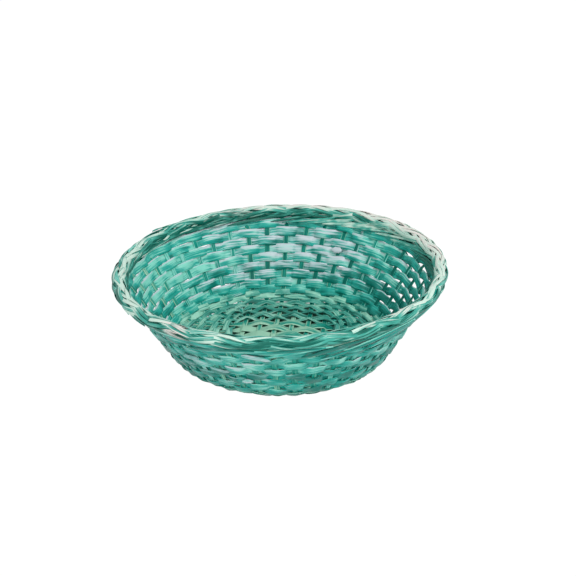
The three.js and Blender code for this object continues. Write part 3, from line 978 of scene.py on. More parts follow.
def dress_wall(hoop, row, rng):
    """Dresses a wall weaver. Its upper edge is paler, partly as a faded cut edge and partly as a
    painted highlight, and its lower edge is deepened by painted shade. The highlight is stronger at
    the left and on the outside where the weaver is set back behind a stake, and there painted
    light lifts its whole face."""
    hoop = dress(
        hoop, rng, base=0.58, spread=0.14, extra_wear=0.02, edge_wear_and_light=0.22, waves=50, drift=1.6,
    )
    around = angle_of(hoop["points"][:, :1])
    left = bell(np.abs(around), *LEFT_HIGHLIGHT)
    set_back = np.clip(np.cos(math.pi * (around / STAKE_PITCH + 0.5 + row)), 0, 1)
    set_back = set_back * (1 - INSIDE_SHARE)
    # Painted highlight on the upper edge and painted shade on the lower one, less of both outside.
    edge_light_and_shade = TOP_EDGE_HIGHLIGHT_TONE * TOP_EDGE * (1 + left) - LOWER_EDGE_SHADE * section_across
    hoop["tone"] += edge_light_and_shade * (OUTER_EDGE_SHARE + (1 - OUTER_EDGE_SHARE) * INSIDE_SHARE)
    hoop["tone"] += SET_BACK_LIGHT * set_back
    hoop["wear"] += TOP_EDGE_HIGHLIGHT_WEAR * TOP_EDGE * (INSIDE_SHARE * (1 + left) + 2 * set_back)
    return hoop


for row in range(WALL_ROWS):
    rng = draws(3, row)
    distance = wall_bottom + (row + 0.5) * (wall_top - wall_bottom) / WALL_ROWS
    radius = float(radius_up(np.array(distance)))
    hoop = hoop_weaver(
        wall_path(radius, row + 1), range(STAKE_COUNT), row + 1, wall_width,
        WALL_LIFT, WALL_DIP, WALL_PEAK, rng, wall_bow,
        steps=WALL_STEPS, wobble=WALL_WOBBLE, tilt=WALL_TILT, outer_wobble=OUTER_WOBBLE,
    )
    piece = splint_mesh(f"wall_weaver_splint_{row + 1}", [dress_wall(hoop, row, rng)])
    finish_piece(piece, wall_finish, "wall_weaver", f"wall_weaver_{row + 1}")
print("wall weavers:", WALL_ROWS)

# %% [markdown]
# ## Lap ends
# A real weaver isn't a closed ring: its two ends overlap over a few stakes. Where such an end
# stands off the wall it catches the light, so four short ends lie on the weave with a painted pale
# highlight. Each is a short splint swept along the surface, and lies closer to it at one end than
# at the other.

# %% Lap ends of the weavers
# Angle round the wall, then in millimetres the distance up from the foot, the height off the mid
# surface, which is negative on the outside, half the length and the drop from end to end.
LAP_ENDS = [
    (1.22, 53, 2.1, 4.9, 0),
    (-1.71, 33, -2.1, 3.8, 0),
    (-1.60, 67.5, -2.9, 9.5, 7),
    (-2.10, 51, -2.1, 6.5, 0),
]
LAP_WIDTH, LAP_THICKNESS, LAP_CROWN = 4.8 * MM, 0.6 * MM, 0.7 * MM
LAP_POINT = 2.5 * MM
LAP_LEAN = 0.22
LAP_STEPS = 24

parts = []
for order, (middle, *sizes) in enumerate(LAP_ENDS):
    distance, offset, half_length, drop = np.array(sizes) * MM
    along = np.linspace(-1, 1, LAP_STEPS)
    radii = radius_up(distance - drop * along / 2)
    angles = middle + half_length * along / radii
    centre, normal = on_surface(radii, angles, offset * (1 - LAP_LEAN * along))
    normal = np.sign(offset) * normal
    end = sweep(centre, normal, LAP_WIDTH, LAP_THICKNESS, LAP_CROWN, ends=LAP_POINT)
    # A high tone and much wear paint each end pale, as a painted highlight.
    parts.append(dress(end, draws(10, order), base=1.0, spread=0.1, extra_wear=0.75))
finish_piece(splint_mesh("weaver_lap_ends", parts), wall_finish, "wall_weaver")
print("lap ends:", len(parts))

# %% [markdown]
# ## Stake tips and the rim
# At the top each stake leans out past the rim's core, bends over to the right and is laid along
# the rim, climbing its outside until it is tucked in on top. A handful of points in the rim's own
# section, how far along, how far out and how far up, are joined by one smooth curve.


# %% Points round the rim and smooth curves through them
def round_rim(along, out, up, angle):
    """Points by distance along the rim from an angle, and out and up from the rim's centre line."""
    turned = angle + along / RIM_RADIUS
    radius = RIM_RADIUS + out
    return np.stack([radius * np.cos(turned), radius * np.sin(turned), RIM_HEIGHT + up], axis=-1)


def smooth_curve(knots, steps):
    """A Catmull-Rom curve: between two knots each value is a cubic whose slopes are half the
    difference of the knots on either side."""
    padded = np.concatenate([[2 * knots[0] - knots[1]], knots, [2 * knots[-1] - knots[-2]]])
    place = np.linspace(0, len(knots) - 1, steps)
    index = np.minimum(place.astype(int), len(knots) - 2)
    t = (place - index)[:, None]
    before, start, end, after = (padded[index + k] for k in range(4))
    slope_in, slope_out = (end - before) / 2, (after - start) / 2
    cubic = 2 * t ** 3 - 3 * t ** 2
    bends = slope_in * (t ** 3 - 2 * t ** 2 + t) + slope_out * (t ** 3 - t ** 2)
    return start * (1 + cubic) - end * cubic + bends


def along_rim(knots, steps, angle):
    """Points and normals along the rim through knots, each of which gives the way along, out and up
    and the normal's outward and upward shares."""
    curve = smooth_curve(knots, steps)
    points = round_rim(curve[:, 0], curve[:, 1], curve[:, 2], angle)
    outward = outward_at(angle + curve[:, 0] / RIM_RADIUS)
    return points, unit(curve[:, 3:4] * outward + curve[:, 4:5] * UP)


def laid_knots(table):
    """A copy of a table of knots with its first three columns turned from millimetres to metres."""
    knots = table.copy()
    knots[:, :3] *= MM
    return knots


print("a point on top of the core:", round_rim(0.0, 0.0, CORE_RADIUS, 0.0))

# %% Bent-over tips of the stakes
# Along the rim, out and up from its centre line, then the normal's outward and upward shares.
TIP_KNOTS = np.array([
    [0.0, -7.3, -12.0, -0.85, 0.52],
    [0.8, -5.6, -10.7, -0.85, 0.52],
    [4.5, -3.7, -9.5, -0.85, 0.52],
    [14.0, -1.9, -7.6, -0.85, 0.52],
    [26.0, -0.1, -5.8, -0.82, 0.57],
    [40.0, 1.8, -3.9, -0.77, 0.64],
    [54.0, 3.0, -1.7, -0.87, 0.50],
    [67.0, 3.3, 0.2, -1.00, -0.06],
    [80.0, 2.6, 1.9, -0.81, -0.59],
    [93.0, 1.1, 2.7, -0.37, -0.93],
    [104.0, -0.3, 2.6, 0.12, -0.99],
])
TIP_STEPS = 90
TIP_START_RADIUS = RIM_RADIUS - 7.6 * MM
TIP_STRETCHES = (0.85, 1.2)
TIP_SCATTER = 0.18 * MM
STRAY_TIPS = (0.62 * math.pi, 0.6)
STRAY_SHARES = (0.2, 1.0)
STRAY_RISE = np.array([0.6, 2.0, 4.0, 6.5]) * MM


def stake_tip(number, rng):
    """The bent-over tip of a stake, as points and normals that continue its run up the wall. Some
    tips at the back left stand off the border."""
    knots = laid_knots(TIP_KNOTS)
    knots[2:, 0] *= rng.uniform(*TIP_STRETCHES)
    knots[2:, 1:3] += rng.normal(scale=TIP_SCATTER, size=(len(knots) - 2, 2))
    angle = float(stake_angle(number, TIP_START_RADIUS))
    knots[-4:, 2] += STRAY_RISE * (bell(angle, *STRAY_TIPS) * rng.uniform(*STRAY_SHARES))
    return along_rim(knots, TIP_STEPS, angle)


print("a tip is laid along the rim for", TIP_KNOTS[-1, 0], "mm")

# %% [markdown]
# ## Stakes
# A stake runs up the wall on the mid surface, and its tip follows on. Only the mat's strips and the
# corner stakes differ in where they start, so the run, the widths and the dress are shared. Inside
# the bowl a stake is deep teal with painted highlights on its long edges, painted light lifts its
# outer face and its inside at the left, and just under the border painted shade darkens it where
# the border lies over it.

# %% Runs of stakes up the wall
STAKE_STEP = 1.5 * MM
STEEPNESS = 1.6
STAKE_WIGGLE = 0.12 * MM
WIGGLE_WAVES = 9
TIP_NARROWING = 0.28


def wall_run(number, start_radius, rng):
    """A stake from a start radius up to where its tip bends, then its tip."""
    count = int((TIP_START_RADIUS - start_radius) * STEEPNESS / STAKE_STEP)
    radii = np.linspace(start_radius, TIP_START_RADIUS, count)
    wiggle = STAKE_WIGGLE * wander(np.linspace(0, 1, count), WIGGLE_WAVES, rng)
    points, normals = on_surface(radii, stake_angle(number, radii), wiggle)
    tip_points, tip_normals = stake_tip(number, rng)
    return np.concatenate([points, tip_points]), np.concatenate([normals, tip_normals])


def stake_widths(count):
    """Full width up the wall, drawn in a little along the tip."""
    tip_share = np.clip((np.arange(count) - (count - TIP_STEPS)) / TIP_STEPS, 0, 1)
    return STAKE_WIDTH * (1 - TIP_NARROWING * tip_share)


print("width of a stake at its tip:", stake_widths(TIP_STEPS)[-1])

# %% Dress of the stakes
# Painted highlights on a stake's inner long edges, painted light on its outer face and at the left,
# and painted shade under the border.
STAKE_EDGE_HIGHLIGHT = 1.3
STAKE_OUTER_LIGHT = 0.75
UNDER_BORDER_SHADE = 0.8
STAKE_LEFT_LIGHT = 0.35
STAKE_LEFT = (0.95 * math.pi, 0.6)
TIP_TONE, TIP_SPREAD = 0.15, 0.3
BEND_DEPTH, BEND_LENGTH = 12 * MM, 5 * MM
BORDER_DEPTH = 4 * MM


def dress_stake(part, rng, base, spread):
    """Dresses a stake. Its long edges get painted highlights on the inside, and painted light lifts
    its outer face all over and its inside at the left. Painted shade deepens it just under the
    border, except where tips stand off it, and the bent-over tip has a tone of its own, mostly a
    paler one."""
    part = dress(part, rng, base, spread)
    angle = angle_of(part["points"])
    height = part["points"][..., 2]
    above = np.clip((height - RIM_HEIGHT + BEND_DEPTH) / BEND_LENGTH, 0, 1)
    part["tone"] += (TIP_TONE + TIP_SPREAD * rng.normal()) * above
    part["tone"] += STAKE_EDGE_HIGHLIGHT * BOTH_EDGES * INSIDE_SHARE * (1 - above)
    part["tone"] += STAKE_OUTER_LIGHT * (1 - INSIDE_SHARE)
    under = ease(height, RIM_HEIGHT - BORDER_DEPTH, RIM_HEIGHT) * (1 - bell(angle, *STRAY_TIPS))
    part["tone"] -= UNDER_BORDER_SHADE * under
    part["tone"] += STAKE_LEFT_LIGHT * bell(np.abs(angle), *STAKE_LEFT) * (1 - above)
    return part


print("a stake starts to bend over", BEND_DEPTH, "m below the rim's centre line")

# %% [markdown]
# ## Corner stakes
# Twenty short stakes fill the corners between the mat's strips. Each end is tucked just inside one
# floor weaver, and the stake crosses the ones after it: the outer two of a corner start near the
# foot, and the rest nearer the mat.

# %% Corner stakes
STAKE_CROWN = 0.1 * MM
POINT_LENGTH = 8 * MM
TUCKED_END = 2 * MM
STAKE_UNEVENNESS = 0.05

corner_numbers = [number for number in range(STAKE_COUNT) if is_corner(number)]
for order, number in enumerate(corner_numbers):
    rng = draws(4, number)
    path = floor_path(first_row(number) - 1)
    start_radius = float(path(stake_angle(number, FOOT_RADIUS))) - TUCKED_END
    points, normals = wall_run(number, start_radius, rng)
    widths = stake_widths(len(points)) * (1 + STAKE_UNEVENNESS * rng.normal())
    stake = sweep(points, normals, widths, STAKE_THICKNESS, STAKE_CROWN, ends=POINT_LENGTH)
    stake = dress_stake(stake, rng, base=0.3, spread=0.2)
    piece = splint_mesh(f"corner_stake_splint_{order + 1}", [stake])
    finish_piece(piece, stake_finish, "stake", f"corner_stake_{order + 1}")
print("corner stakes:", len(corner_numbers))

# %% [markdown]
# ## The mat
# Twelve strips cross in the middle of the floor. The front-to-back splints are narrow and nearly
# straight. The left-to-right slats are wide and pale, arch over one splint and under the next, and
# are trimmed to stake width at their shoulders. Each strip is one long splint from tip to tip: it
# goes on up the wall at both ends as a stake.

# %% Shape of a mat strip
SLAT_WIDTH = 11.4 * MM
SLAT_LIFT = 1.35 * MM
SPLINT_LIFT = -0.25 * SLAT_LIFT
MAT_PEAK = 0.7
MAT_STEPS = 160
MAT_WIGGLE = 0.15 * MM
MAT_WAVES = 3
MAT_EASE = 2 * MM


def wall_number(direction):
    """Number of the stake that stands in a direction on the wall."""
    return int(round(direction / STAKE_PITCH - 0.5)) % STAKE_COUNT


def mat_strip(index, order, turned, rng):
    """One strip from tip to tip. It runs along X, or along Y where turned is true. Its two runs up
    the wall are found by the stakes that they become."""
    share = np.linspace(0, 1, MAT_STEPS)
    along = np.linspace(-MAT_HALF, MAT_HALF, MAT_STEPS)
    sideways = index * MAT_PITCH + MAT_WIGGLE * wander(share, MAT_WAVES, rng)
    x, y = (sideways, along) if turned else (along, sideways)
    running = along / MAT_PITCH + outer_index + order
    inside = np.clip((SLAT_WIDE_END - np.abs(along)) / MAT_EASE, 0, 1)
    lift = (SPLINT_LIFT if turned else SLAT_LIFT) * weave(running, MAT_PEAK) * inside
    points, normals = on_surface(np.hypot(x, y), np.arctan2(y, x), lift)
    side = index * STAKE_PITCH
    ahead = QUARTER - side if turned else side
    behind = 3 * QUARTER + side if turned else 2 * QUARTER - side
    start = math.hypot(MAT_HALF, index * MAT_PITCH) + STAKE_STEP
    up, up_normals = wall_run(wall_number(ahead), start, rng)
    down, down_normals = wall_run(wall_number(behind), start, rng)
    centre = np.concatenate([down[::-1], points, up])
    normal = np.concatenate([down_normals[::-1], normals, up_normals])
    full = STAKE_WIDTH if turned else SLAT_WIDTH
    taper = np.clip((MAT_HALF - np.abs(along)) / SLAT_TAPER, 0, 1)
    middle = STAKE_WIDTH + (full - STAKE_WIDTH) * taper
    run_widths = stake_widths(len(up))
    widths = np.concatenate([run_widths[::-1], middle, run_widths])
    return sweep(centre, normal, widths, STAKE_THICKNESS, STAKE_CROWN, ends=POINT_LENGTH)


print("half the mat and its ring:", round(MAT_HALF, 4), round(MAT_RING, 4))

# %% Mat strips
CLIMB_OVAL = 1.45
CLIMB_START, CLIMB_LENGTH = 46 * MM, 20 * MM
CLIMB_TONE, CLIMB_WEAR = 0.75, 0.6


def climb(part):
    """Deepens the dye of a mat strip where it leaves the floor and climbs the wall, sooner to the
    left and right than to the front and back."""
    outwards = np.hypot(CLIMB_OVAL * part["points"][..., 0], part["points"][..., 1])
    climbed = np.clip((outwards - CLIMB_START) / CLIMB_LENGTH, 0, 1)
    part["tone"] -= CLIMB_TONE * climbed
    part["wear"] -= CLIMB_WEAR * climbed
    return part


for order in range(MAT_STRIPS):
    index = order - outer_index
    rng = draws(5, order)
    splint = dress_stake(mat_strip(index, 0, True, rng), rng, base=0.72, spread=0.12)
    piece = splint_mesh(f"mat_splint_{order + 1}", [climb(splint)])
    finish_piece(piece, slat_finish, "stake", f"base_splint_{order + 1}")
    rng = draws(6, order)
    slat = dress_stake(mat_strip(index, order, False, rng), rng, base=0.82, spread=0.1)
    piece = splint_mesh(f"mat_slat_{order + 1}", [climb(slat)])
    finish_piece(piece, slat_finish, "slat", f"base_slat_{order + 1}")
print("mat strips:", 2 * MAT_STRIPS)

# %% [markdown]
# ## The plaited border
# Flat strands wind round the rim both ways, four each way, and each is split in two lengthways.
# Where a rising strand meets a falling one, it passes over the first and under the next. All
# crossings at one place round the section are alike, so the swing in and out depends only on how
# far round the section the strand is. At the back right the border is spread a little wider.

# %% Shape of a border strand
BORDER_TURNS = 5
STRANDS_EACH_WAY = 4
BORDER_STEPS = 900
BORDER_MIDDLE = 4.0 * MM
BORDER_SWING = 0.55 * MM
BORDER_THICKNESS = 0.55 * MM
TURN_WANDER, TURN_WAVES = 0.1, 12
DISTANCE_WANDER, DISTANCE_WAVES = 0.12 * MM, 25
STRAND_UNEVENNESS, STRAND_WAVES = 0.08, 20
OUT_STRETCH = 1.08
OPEN_STRETCH = 0.3
LEFT_FULLNESS = 0.18
OPEN_RIM = (0.72, 0.34)
FULL_LEFT = (3.2, 0.5)


def rim_opening(angle):
    """How far the border is spread and the bundle in it thinned, which lets light through at the
    back right."""
    return bell(signed(angle), *OPEN_RIM)


def wound_rim(around, turn, distance, stretch=1.0):
    """Points and normals at angles round the basket, and at an angle and a distance round the rim's
    own section, which the stretch widens."""
    points = round_rim(0.0, stretch * distance * np.cos(turn), distance * np.sin(turn), around)
    normals = np.cos(turn)[:, None] * outward_at(around) + np.sin(turn)[:, None] * UP
    return points, normals


def border_strand(way, number, beside, width, rng):
    """A splint of a strand round the rim, which lies beside the strand's middle line. Its angle
    round the section grows steadily by whole turns, and its distance from the centre is the middle
    one plus or minus the swing times a cosine. Its crown is its width squared over eight times the
    middle distance, which bends it round the section, and it is a little fuller at the left. The
    second result is its angle at each station."""
    share = np.arange(BORDER_STEPS) / BORDER_STEPS
    around = FULL_TURN * share
    turn = way * (BORDER_TURNS * around) + FULL_TURN * number / STRANDS_EACH_WAY
    turn = turn + TURN_WANDER * wander(share, TURN_WAVES, rng)
    swing = way * BORDER_SWING * np.cos(STRANDS_EACH_WAY * turn)
    turn = turn + beside / BORDER_MIDDLE
    distance = BORDER_MIDDLE + swing + DISTANCE_WANDER * wander(share, DISTANCE_WAVES, rng)
    stretch = OUT_STRETCH + OPEN_STRETCH * rim_opening(around)
    points, normals = wound_rim(around, turn, distance, stretch)
    fullness = LEFT_FULLNESS * bell(around, *FULL_LEFT)
    widths = width * (1 + STRAND_UNEVENNESS * wander(share, STRAND_WAVES, rng) + fullness)
    crown = width ** 2 / (8 * BORDER_MIDDLE)
    return sweep(points, normals, widths, BORDER_THICKNESS, crown, closed=True), turn[:, None]


print("crossings of two strands round the rim:", 2 * BORDER_TURNS)

# %% Dress of the border
# Which way round the section the top lies, how much further in at the front, and between which
# cosines of the angle from it a strand turns pale, partly as wear and partly as a painted
# highlight, the lower one being higher at the front.
TOP_SIDE = math.radians(88)
FRONT_LEAN = 0.15
TOP_START, FRONT_DELAY, TOP_FULL = 0.3, 0.2, 0.85
INNER_EASES = (-0.35, 0.3)
TOP_TONE_AND_HIGHLIGHT, TOP_WEAR_AND_HIGHLIGHT = 0.75, 0.25
OUTER_LEFT_SHADE = 0.3
STRAND_EDGE_SHADE = 0.45
# Places round the rim, each a centre angle and a spread in radians.
RIM_FRONT = (-1.6, 0.75)
RIM_FRONT_RIGHT = (-0.85, 0.35)
RIM_RIGHT = (0.5, 0.6)
RIM_BACK = (1.4, 0.7)
RIM_BACK_LEFT = (2.4, 0.45)
RIM_LEFT = (3.3, 0.4)
# Patches, as on the wall: on top of the border, which change its painted highlight, on its two
# faces, which are painted shade, and all round it, where two short ones are cream and one is pink.
TOP_TONES_AND_HIGHLIGHT = [(-0.4, *RIM_FRONT), (-0.15, *RIM_FRONT_RIGHT), (0.3, *RIM_BACK), (-0.3, *RIM_BACK_LEFT)]
FACE_SHADES = [(-0.1, *RIM_FRONT), (-0.3, *RIM_BACK_LEFT)]
ROUND_TONES = [(0.95, *RIM_RIGHT), (0.6, -1.83, 0.1), (0.6, -2.5, 0.12)]
TOP_WEARS_AND_HIGHLIGHT = [
    (-0.3, *RIM_FRONT),
    (0.3, *RIM_FRONT_RIGHT),
    (0.45, *RIM_RIGHT),
    (0.2, *RIM_BACK),
    (-0.35, *RIM_BACK_LEFT),
]
ROUND_WEARS = [(0.6, -2.05, 0.13)]


def dress_border(strand, turn, rng):
    """Dresses a border strand: pale and faded on top of the border, partly as wear and partly as a
    painted highlight, and teal on its two faces. The sums of patches then make places paler, deeper
    or more faded, those on the faces as painted shade, and at the left painted light lifts the side
    that faces into the bowl and painted shade deepens the other one."""
    strand = dress(strand, rng, base=0.24, spread=0.25, extra_wear=0.04, place=0.0, waves=30)
    points = strand["points"]
    front = bell(angle_of(points), *RIM_FRONT)
    left = bell(np.mod(angle_of(points), FULL_TURN), *RIM_LEFT)
    topward = np.cos(turn - TOP_SIDE - FRONT_LEAN * front)
    top = ease(topward, TOP_START + FRONT_DELAY * front, TOP_FULL)
    inner = ease(-np.cos(turn), *INNER_EASES)
    strand["tone"] += top * (TOP_TONE_AND_HIGHLIGHT + add_patches(points, TOP_TONES_AND_HIGHLIGHT))
    strand["tone"] += (1 - top) * add_patches(points, FACE_SHADES)
    strand["tone"] += add_patches(points, ROUND_TONES) + (inner - OUTER_LEFT_SHADE) * left
    # Painted shade along both long edges, where the strands meet.
    strand["tone"] -= STRAND_EDGE_SHADE * BOTH_EDGES
    strand["wear"] += top * (TOP_WEAR_AND_HIGHLIGHT + add_patches(points, TOP_WEARS_AND_HIGHLIGHT))
    strand["wear"] += add_patches(points, ROUND_WEARS)
    return strand


print("patches of tone and of wear on the rim's top:", len(TOP_TONES_AND_HIGHLIGHT), len(TOP_WEARS_AND_HIGHLIGHT))

# %% Border strands
STRAND_WIDTHS = np.array([5.0, 3.2, 4.6, 3.5]) * MM
SPLIT_SHARE = 0.55
RIM_NODES = 4

for node_number in range(RIM_NODES):
    way = 1 if node_number < RIM_NODES / 2 else -1
    parts = []
    for number in range(node_number % 2, STRANDS_EACH_WAY, 2):
        width = STRAND_WIDTHS[(number + node_number) % STRANDS_EACH_WAY]
        for half in (-1, 1):
            rng = draws(7, node_number, number, half + 1)
            strand, turn = border_strand(way, number, half * width / 4, width * SPLIT_SHARE, rng)
            parts.append(dress_border(strand, turn, rng))
    piece = splint_mesh(f"border_strands_{node_number + 1}", parts)
    finish_piece(piece, rim_finish, "rim_splint", f"rim_strand_{node_number + 1}")
print("border strands:", 2 * STRANDS_EACH_WAY)

# %% [markdown]
# ## What the border is wound on
# Under the plait lies a bundle of thin splints, mostly hidden, kept dark so that their deep teal
# shows as painted shade in the gaps.
# They are wound round the rim's centre line like the strands, but closer to it and only twice.

# %% Core bundle
CORE_SPLINTS = 7
CORE_STEPS = 300
CORE_TURNS = 2
CORE_DISTANCE, CORE_SCATTER = 2.1 * MM, 0.2 * MM
CORE_WANDER = 0.3
CORE_TURN_WAVES, CORE_DISTANCE_WAVES = 8, 12
CORE_SPLINT_WIDTH, CORE_THICKNESS, CORE_CROWN = 2.4 * MM, 0.8 * MM, 0.1 * MM
CORE_THINNING = 0.65

parts = []
for number in range(CORE_SPLINTS):
    rng = draws(8, number)
    share = np.arange(CORE_STEPS) / CORE_STEPS
    around = FULL_TURN * share
    turn = FULL_TURN * number / CORE_SPLINTS + CORE_TURNS * around
    turn = turn + CORE_WANDER * wander(share, CORE_TURN_WAVES, rng)
    distance = CORE_DISTANCE + CORE_SCATTER * wander(share, CORE_DISTANCE_WAVES, rng)
    points, normals = wound_rim(around, turn, distance)
    widths = CORE_SPLINT_WIDTH * (1 - CORE_THINNING * rim_opening(around))
    splint = sweep(points, normals, widths, CORE_THICKNESS, CORE_CROWN, closed=True)
    # A deep tone and little wear make the core dark, as painted shade in the border's gaps.
    parts.append(dress(splint, rng, base=0.0, spread=0.15, extra_wear=-0.4))
finish_piece(splint_mesh("border_core_bundle", parts), core_shade_finish, "stake", "rim_core")
print("splints in the core bundle:", len(parts))

# %% [markdown]
# ## Splint ends inside the rim
# Inside the bowl the border's splint ends come off its top, slant down to the right and are tucked
# against the wall, one for each stake. At the back left they stay close under the rim, and some of
# them are pale. They stand for the frame's plain band.

# %% Ends inside the rim
# Along the rim, out and up from its centre line, then the normal's outward and upward shares.
END_KNOTS = np.array([
    [0.0, -2.6, 2.6, -0.60, 0.80],
    [10.0, -4.3, 0.2, -0.98, 0.20],
    [20.0, -5.2, -2.6, -0.92, 0.38],
    [34.0, -5.8, -4.4, -0.85, 0.52],
    [50.0, -6.8, -6.0, -0.85, 0.52],
    [66.0, -7.7, -7.4, -0.85, 0.52],
])
END_WIDTH, END_THICKNESS, END_CROWN = 2.1 * MM, 0.5 * MM, 0.1 * MM
END_STEPS = 60
END_ANGLE_SCATTER = 0.02
END_STRETCHES = (0.7, 1.1)
END_HEIGHT_SCATTER = 0.4 * MM
END_WIDTH_SHARES = (0.75, 1.25)
END_TONE, PALE_END_TONE = 0.05, 0.9
# Amounts, and the places they are for, each a centre angle and a spread in radians.
SHORT_ENDS, SHORT_PLACE = 0.8, (2.3, 0.65)
PALE_CHANCE, PALE_PLACE = 0.5, (2.55, 0.4)
RIGHT_END_TONE, RIGHT_PLACE = 0.6, (0.7, 0.5)
LEFT_END_TONE, LEFT_PLACE = -0.3, (2.4, 0.7)

parts = []
for number in range(STAKE_COUNT):
    rng = draws(9, number)
    knots = laid_knots(END_KNOTS)
    angle = float(stake_angle(number, RIM_RADIUS)) + rng.normal(scale=END_ANGLE_SCATTER)
    short = SHORT_ENDS * bell(angle, *SHORT_PLACE)
    knots[3:, 1:3] += short * (knots[2, 1:3] - knots[3:, 1:3])
    knots[:, 0] *= rng.uniform(*END_STRETCHES)
    knots[:, 2] += rng.normal(scale=END_HEIGHT_SCATTER)
    points, normals = along_rim(knots, END_STEPS, angle)
    width = END_WIDTH * rng.uniform(*END_WIDTH_SHARES)
    end = sweep(points, normals, width, END_THICKNESS, END_CROWN, ends=POINT_LENGTH)
    tone = END_TONE + RIGHT_END_TONE * bell(angle, *RIGHT_PLACE)
    tone = tone + LEFT_END_TONE * bell(angle, *LEFT_PLACE)
    if rng.random() < PALE_CHANCE * bell(angle, *PALE_PLACE):
        tone = PALE_END_TONE
    parts.append(dress(end, rng, tone, spread=0.2, extra_wear=-0.1))
finish_piece(splint_mesh("inner_band_splints", parts), rim_finish, "rim_splint", "rim_inner_band")
print("splint ends inside the rim:", len(parts))

# %% [markdown]
# ## Slanting splints under the border
# On the outside the rows under the border are partly covered by splints that slant up into it, from
# about three of every four stakes. At the front left they start higher, so more of the wall shows
# there. Their knots are measured down the wall and out from it, and turned into the rim's section.

# %% Splints that slant up the outside to the border
# Along the rim, down the wall from the rim's centre line, and out from the wall's mid surface.
SLANT_KNOTS = np.array([
    [0.0, 25.0, 1.0],
    [6.0, 23.0, 1.8],
    [16.0, 19.0, 2.3],
    [28.0, 14.0, 2.9],
    [40.0, 9.4, 3.5],
    [52.0, 5.6, 4.2],
    [62.0, 3.4, 4.6],
])
SLANT_WIDTH, SLANT_THICKNESS, SLANT_CROWN = 4.4 * MM, 0.6 * MM, -0.4 * MM
SLANT_POINT = 16 * MM
SLANT_STEPS = 60
SLANT_SKIPPED = 0.25
SLANT_ANGLE_SCATTER = 0.04
SLANT_SHORTENINGS = (0.0, 0.5)
SLANT_STRETCHES = (0.7, 1.25)
SLANT_STANDOFFS = (-0.2, 0.3)
SLANT_WIDTH_SHARES = (0.55, 1.25)
LEFT_SHORTENING, LEFT_SLANTS = 0.35, (4.0, 0.6)

sine, cosine = math.sin(WALL_SLOPE), math.cos(WALL_SLOPE)
parts = []
for number in range(STAKE_COUNT):
    rng = draws(11, number)
    if rng.random() < SLANT_SKIPPED:
        continue
    angle = float(stake_angle(number, RIM_RADIUS)) + rng.normal(scale=SLANT_ANGLE_SCATTER)
    left = bell(angle % FULL_TURN, *LEFT_SLANTS)
    shorter = rng.uniform(*SLANT_SHORTENINGS) + LEFT_SHORTENING * left
    along, down, away = (SLANT_KNOTS * MM).T
    down = down + shorter * (down[-1] - down)
    out = away * sine - down * cosine
    up = -away * cosine - down * sine
    along = along * rng.uniform(*SLANT_STRETCHES)
    out = out + rng.uniform(*SLANT_STANDOFFS) * MM
    facing = [np.full(len(along), -sine), np.full(len(along), cosine)]
    knots = np.stack([along, out, up, *facing], axis=-1)
    points, normals = along_rim(knots, SLANT_STEPS, angle)
    width = SLANT_WIDTH * rng.uniform(*SLANT_WIDTH_SHARES)
    slant = sweep(points, normals, width, SLANT_THICKNESS, SLANT_CROWN, ends=SLANT_POINT)
    slant = dress(slant, rng, base=0.5, spread=0.4, extra_wear=0.05, edge_wear_and_light=0.15, waves=3)
    parts.append(slant)
finish_piece(splint_mesh("outer_band_splints", parts), wall_finish, "rim_splint")
print("splints that slant up the outside:", len(parts))

# %% [markdown]
# ## Light and floor
# A soft lamp hangs high at the front right, a weaker and wider one is lower down in front, and a
# pale world fills the shadows. The floor and the world show as white to the camera, so the basket
# seems cut out, and the floor keeps a trace of its shadow. Right under the basket the floor is
# painted a dull green as painted shade, tinted as if by light through the bamboo, and this shows
# through the gaps in the basket's floor.

# %% Shader helpers for the floor and the world
WHITE = (1, 1, 1, 1)
BACKDROP_STRENGTH = 1.05


def seen_directly(tree):
    """One for rays from the camera, and for those that it sees by way of a mirror or glass."""
    rays = node(tree, "ShaderNodeLightPath")
    seen = math_node(tree, "MAXIMUM", rays.outputs["Is Camera Ray"], rays.outputs["Is Glossy Ray"])
    return math_node(tree, "MAXIMUM", seen, rays.outputs["Is Transmission Ray"])


def mix_surfaces(tree, factor, first, second, output):
    """Mixes two shaders by a factor and leads them to the tree's output."""
    mixed = node(tree, "ShaderNodeMixShader")
    for socket, value in zip(mixed.inputs, (factor, first, second)):
        tree.links.new(value, socket)
    tree.links.new(mixed.outputs["Shader"], tree.nodes[output].inputs["Surface"])


print("the backdrop shows as white at a strength of", BACKDROP_STRENGTH)

# %% Floor
FLOOR_SIZE = 6.0
FLOOR_GREY = (0.8, 0.8, 0.8, 1)
FLOOR_ROUGHNESS = 0.9
FLOOR_GLOW_SHARE = 0.96
# Painted shade: the floor right under the basket is coloured a dull green.
SHADE_GREEN = dye(70, 130, 112)
SHADE_BEHIND = 7 * MM
SHADE_EDGE = 8 * MM

reach = FLOOR_SIZE / 2
corners = [(-reach, -reach, 0), (reach, -reach, 0), (reach, reach, 0), (-reach, reach, 0)]
floor_mesh = bpy.data.meshes.new("studio_floor")
floor_mesh.from_pydata(corners, [], [(0, 1, 2, 3)])
floor = bpy.data.objects.new("studio_floor", floor_mesh)
bpy.context.scene.collection.objects.link(floor)

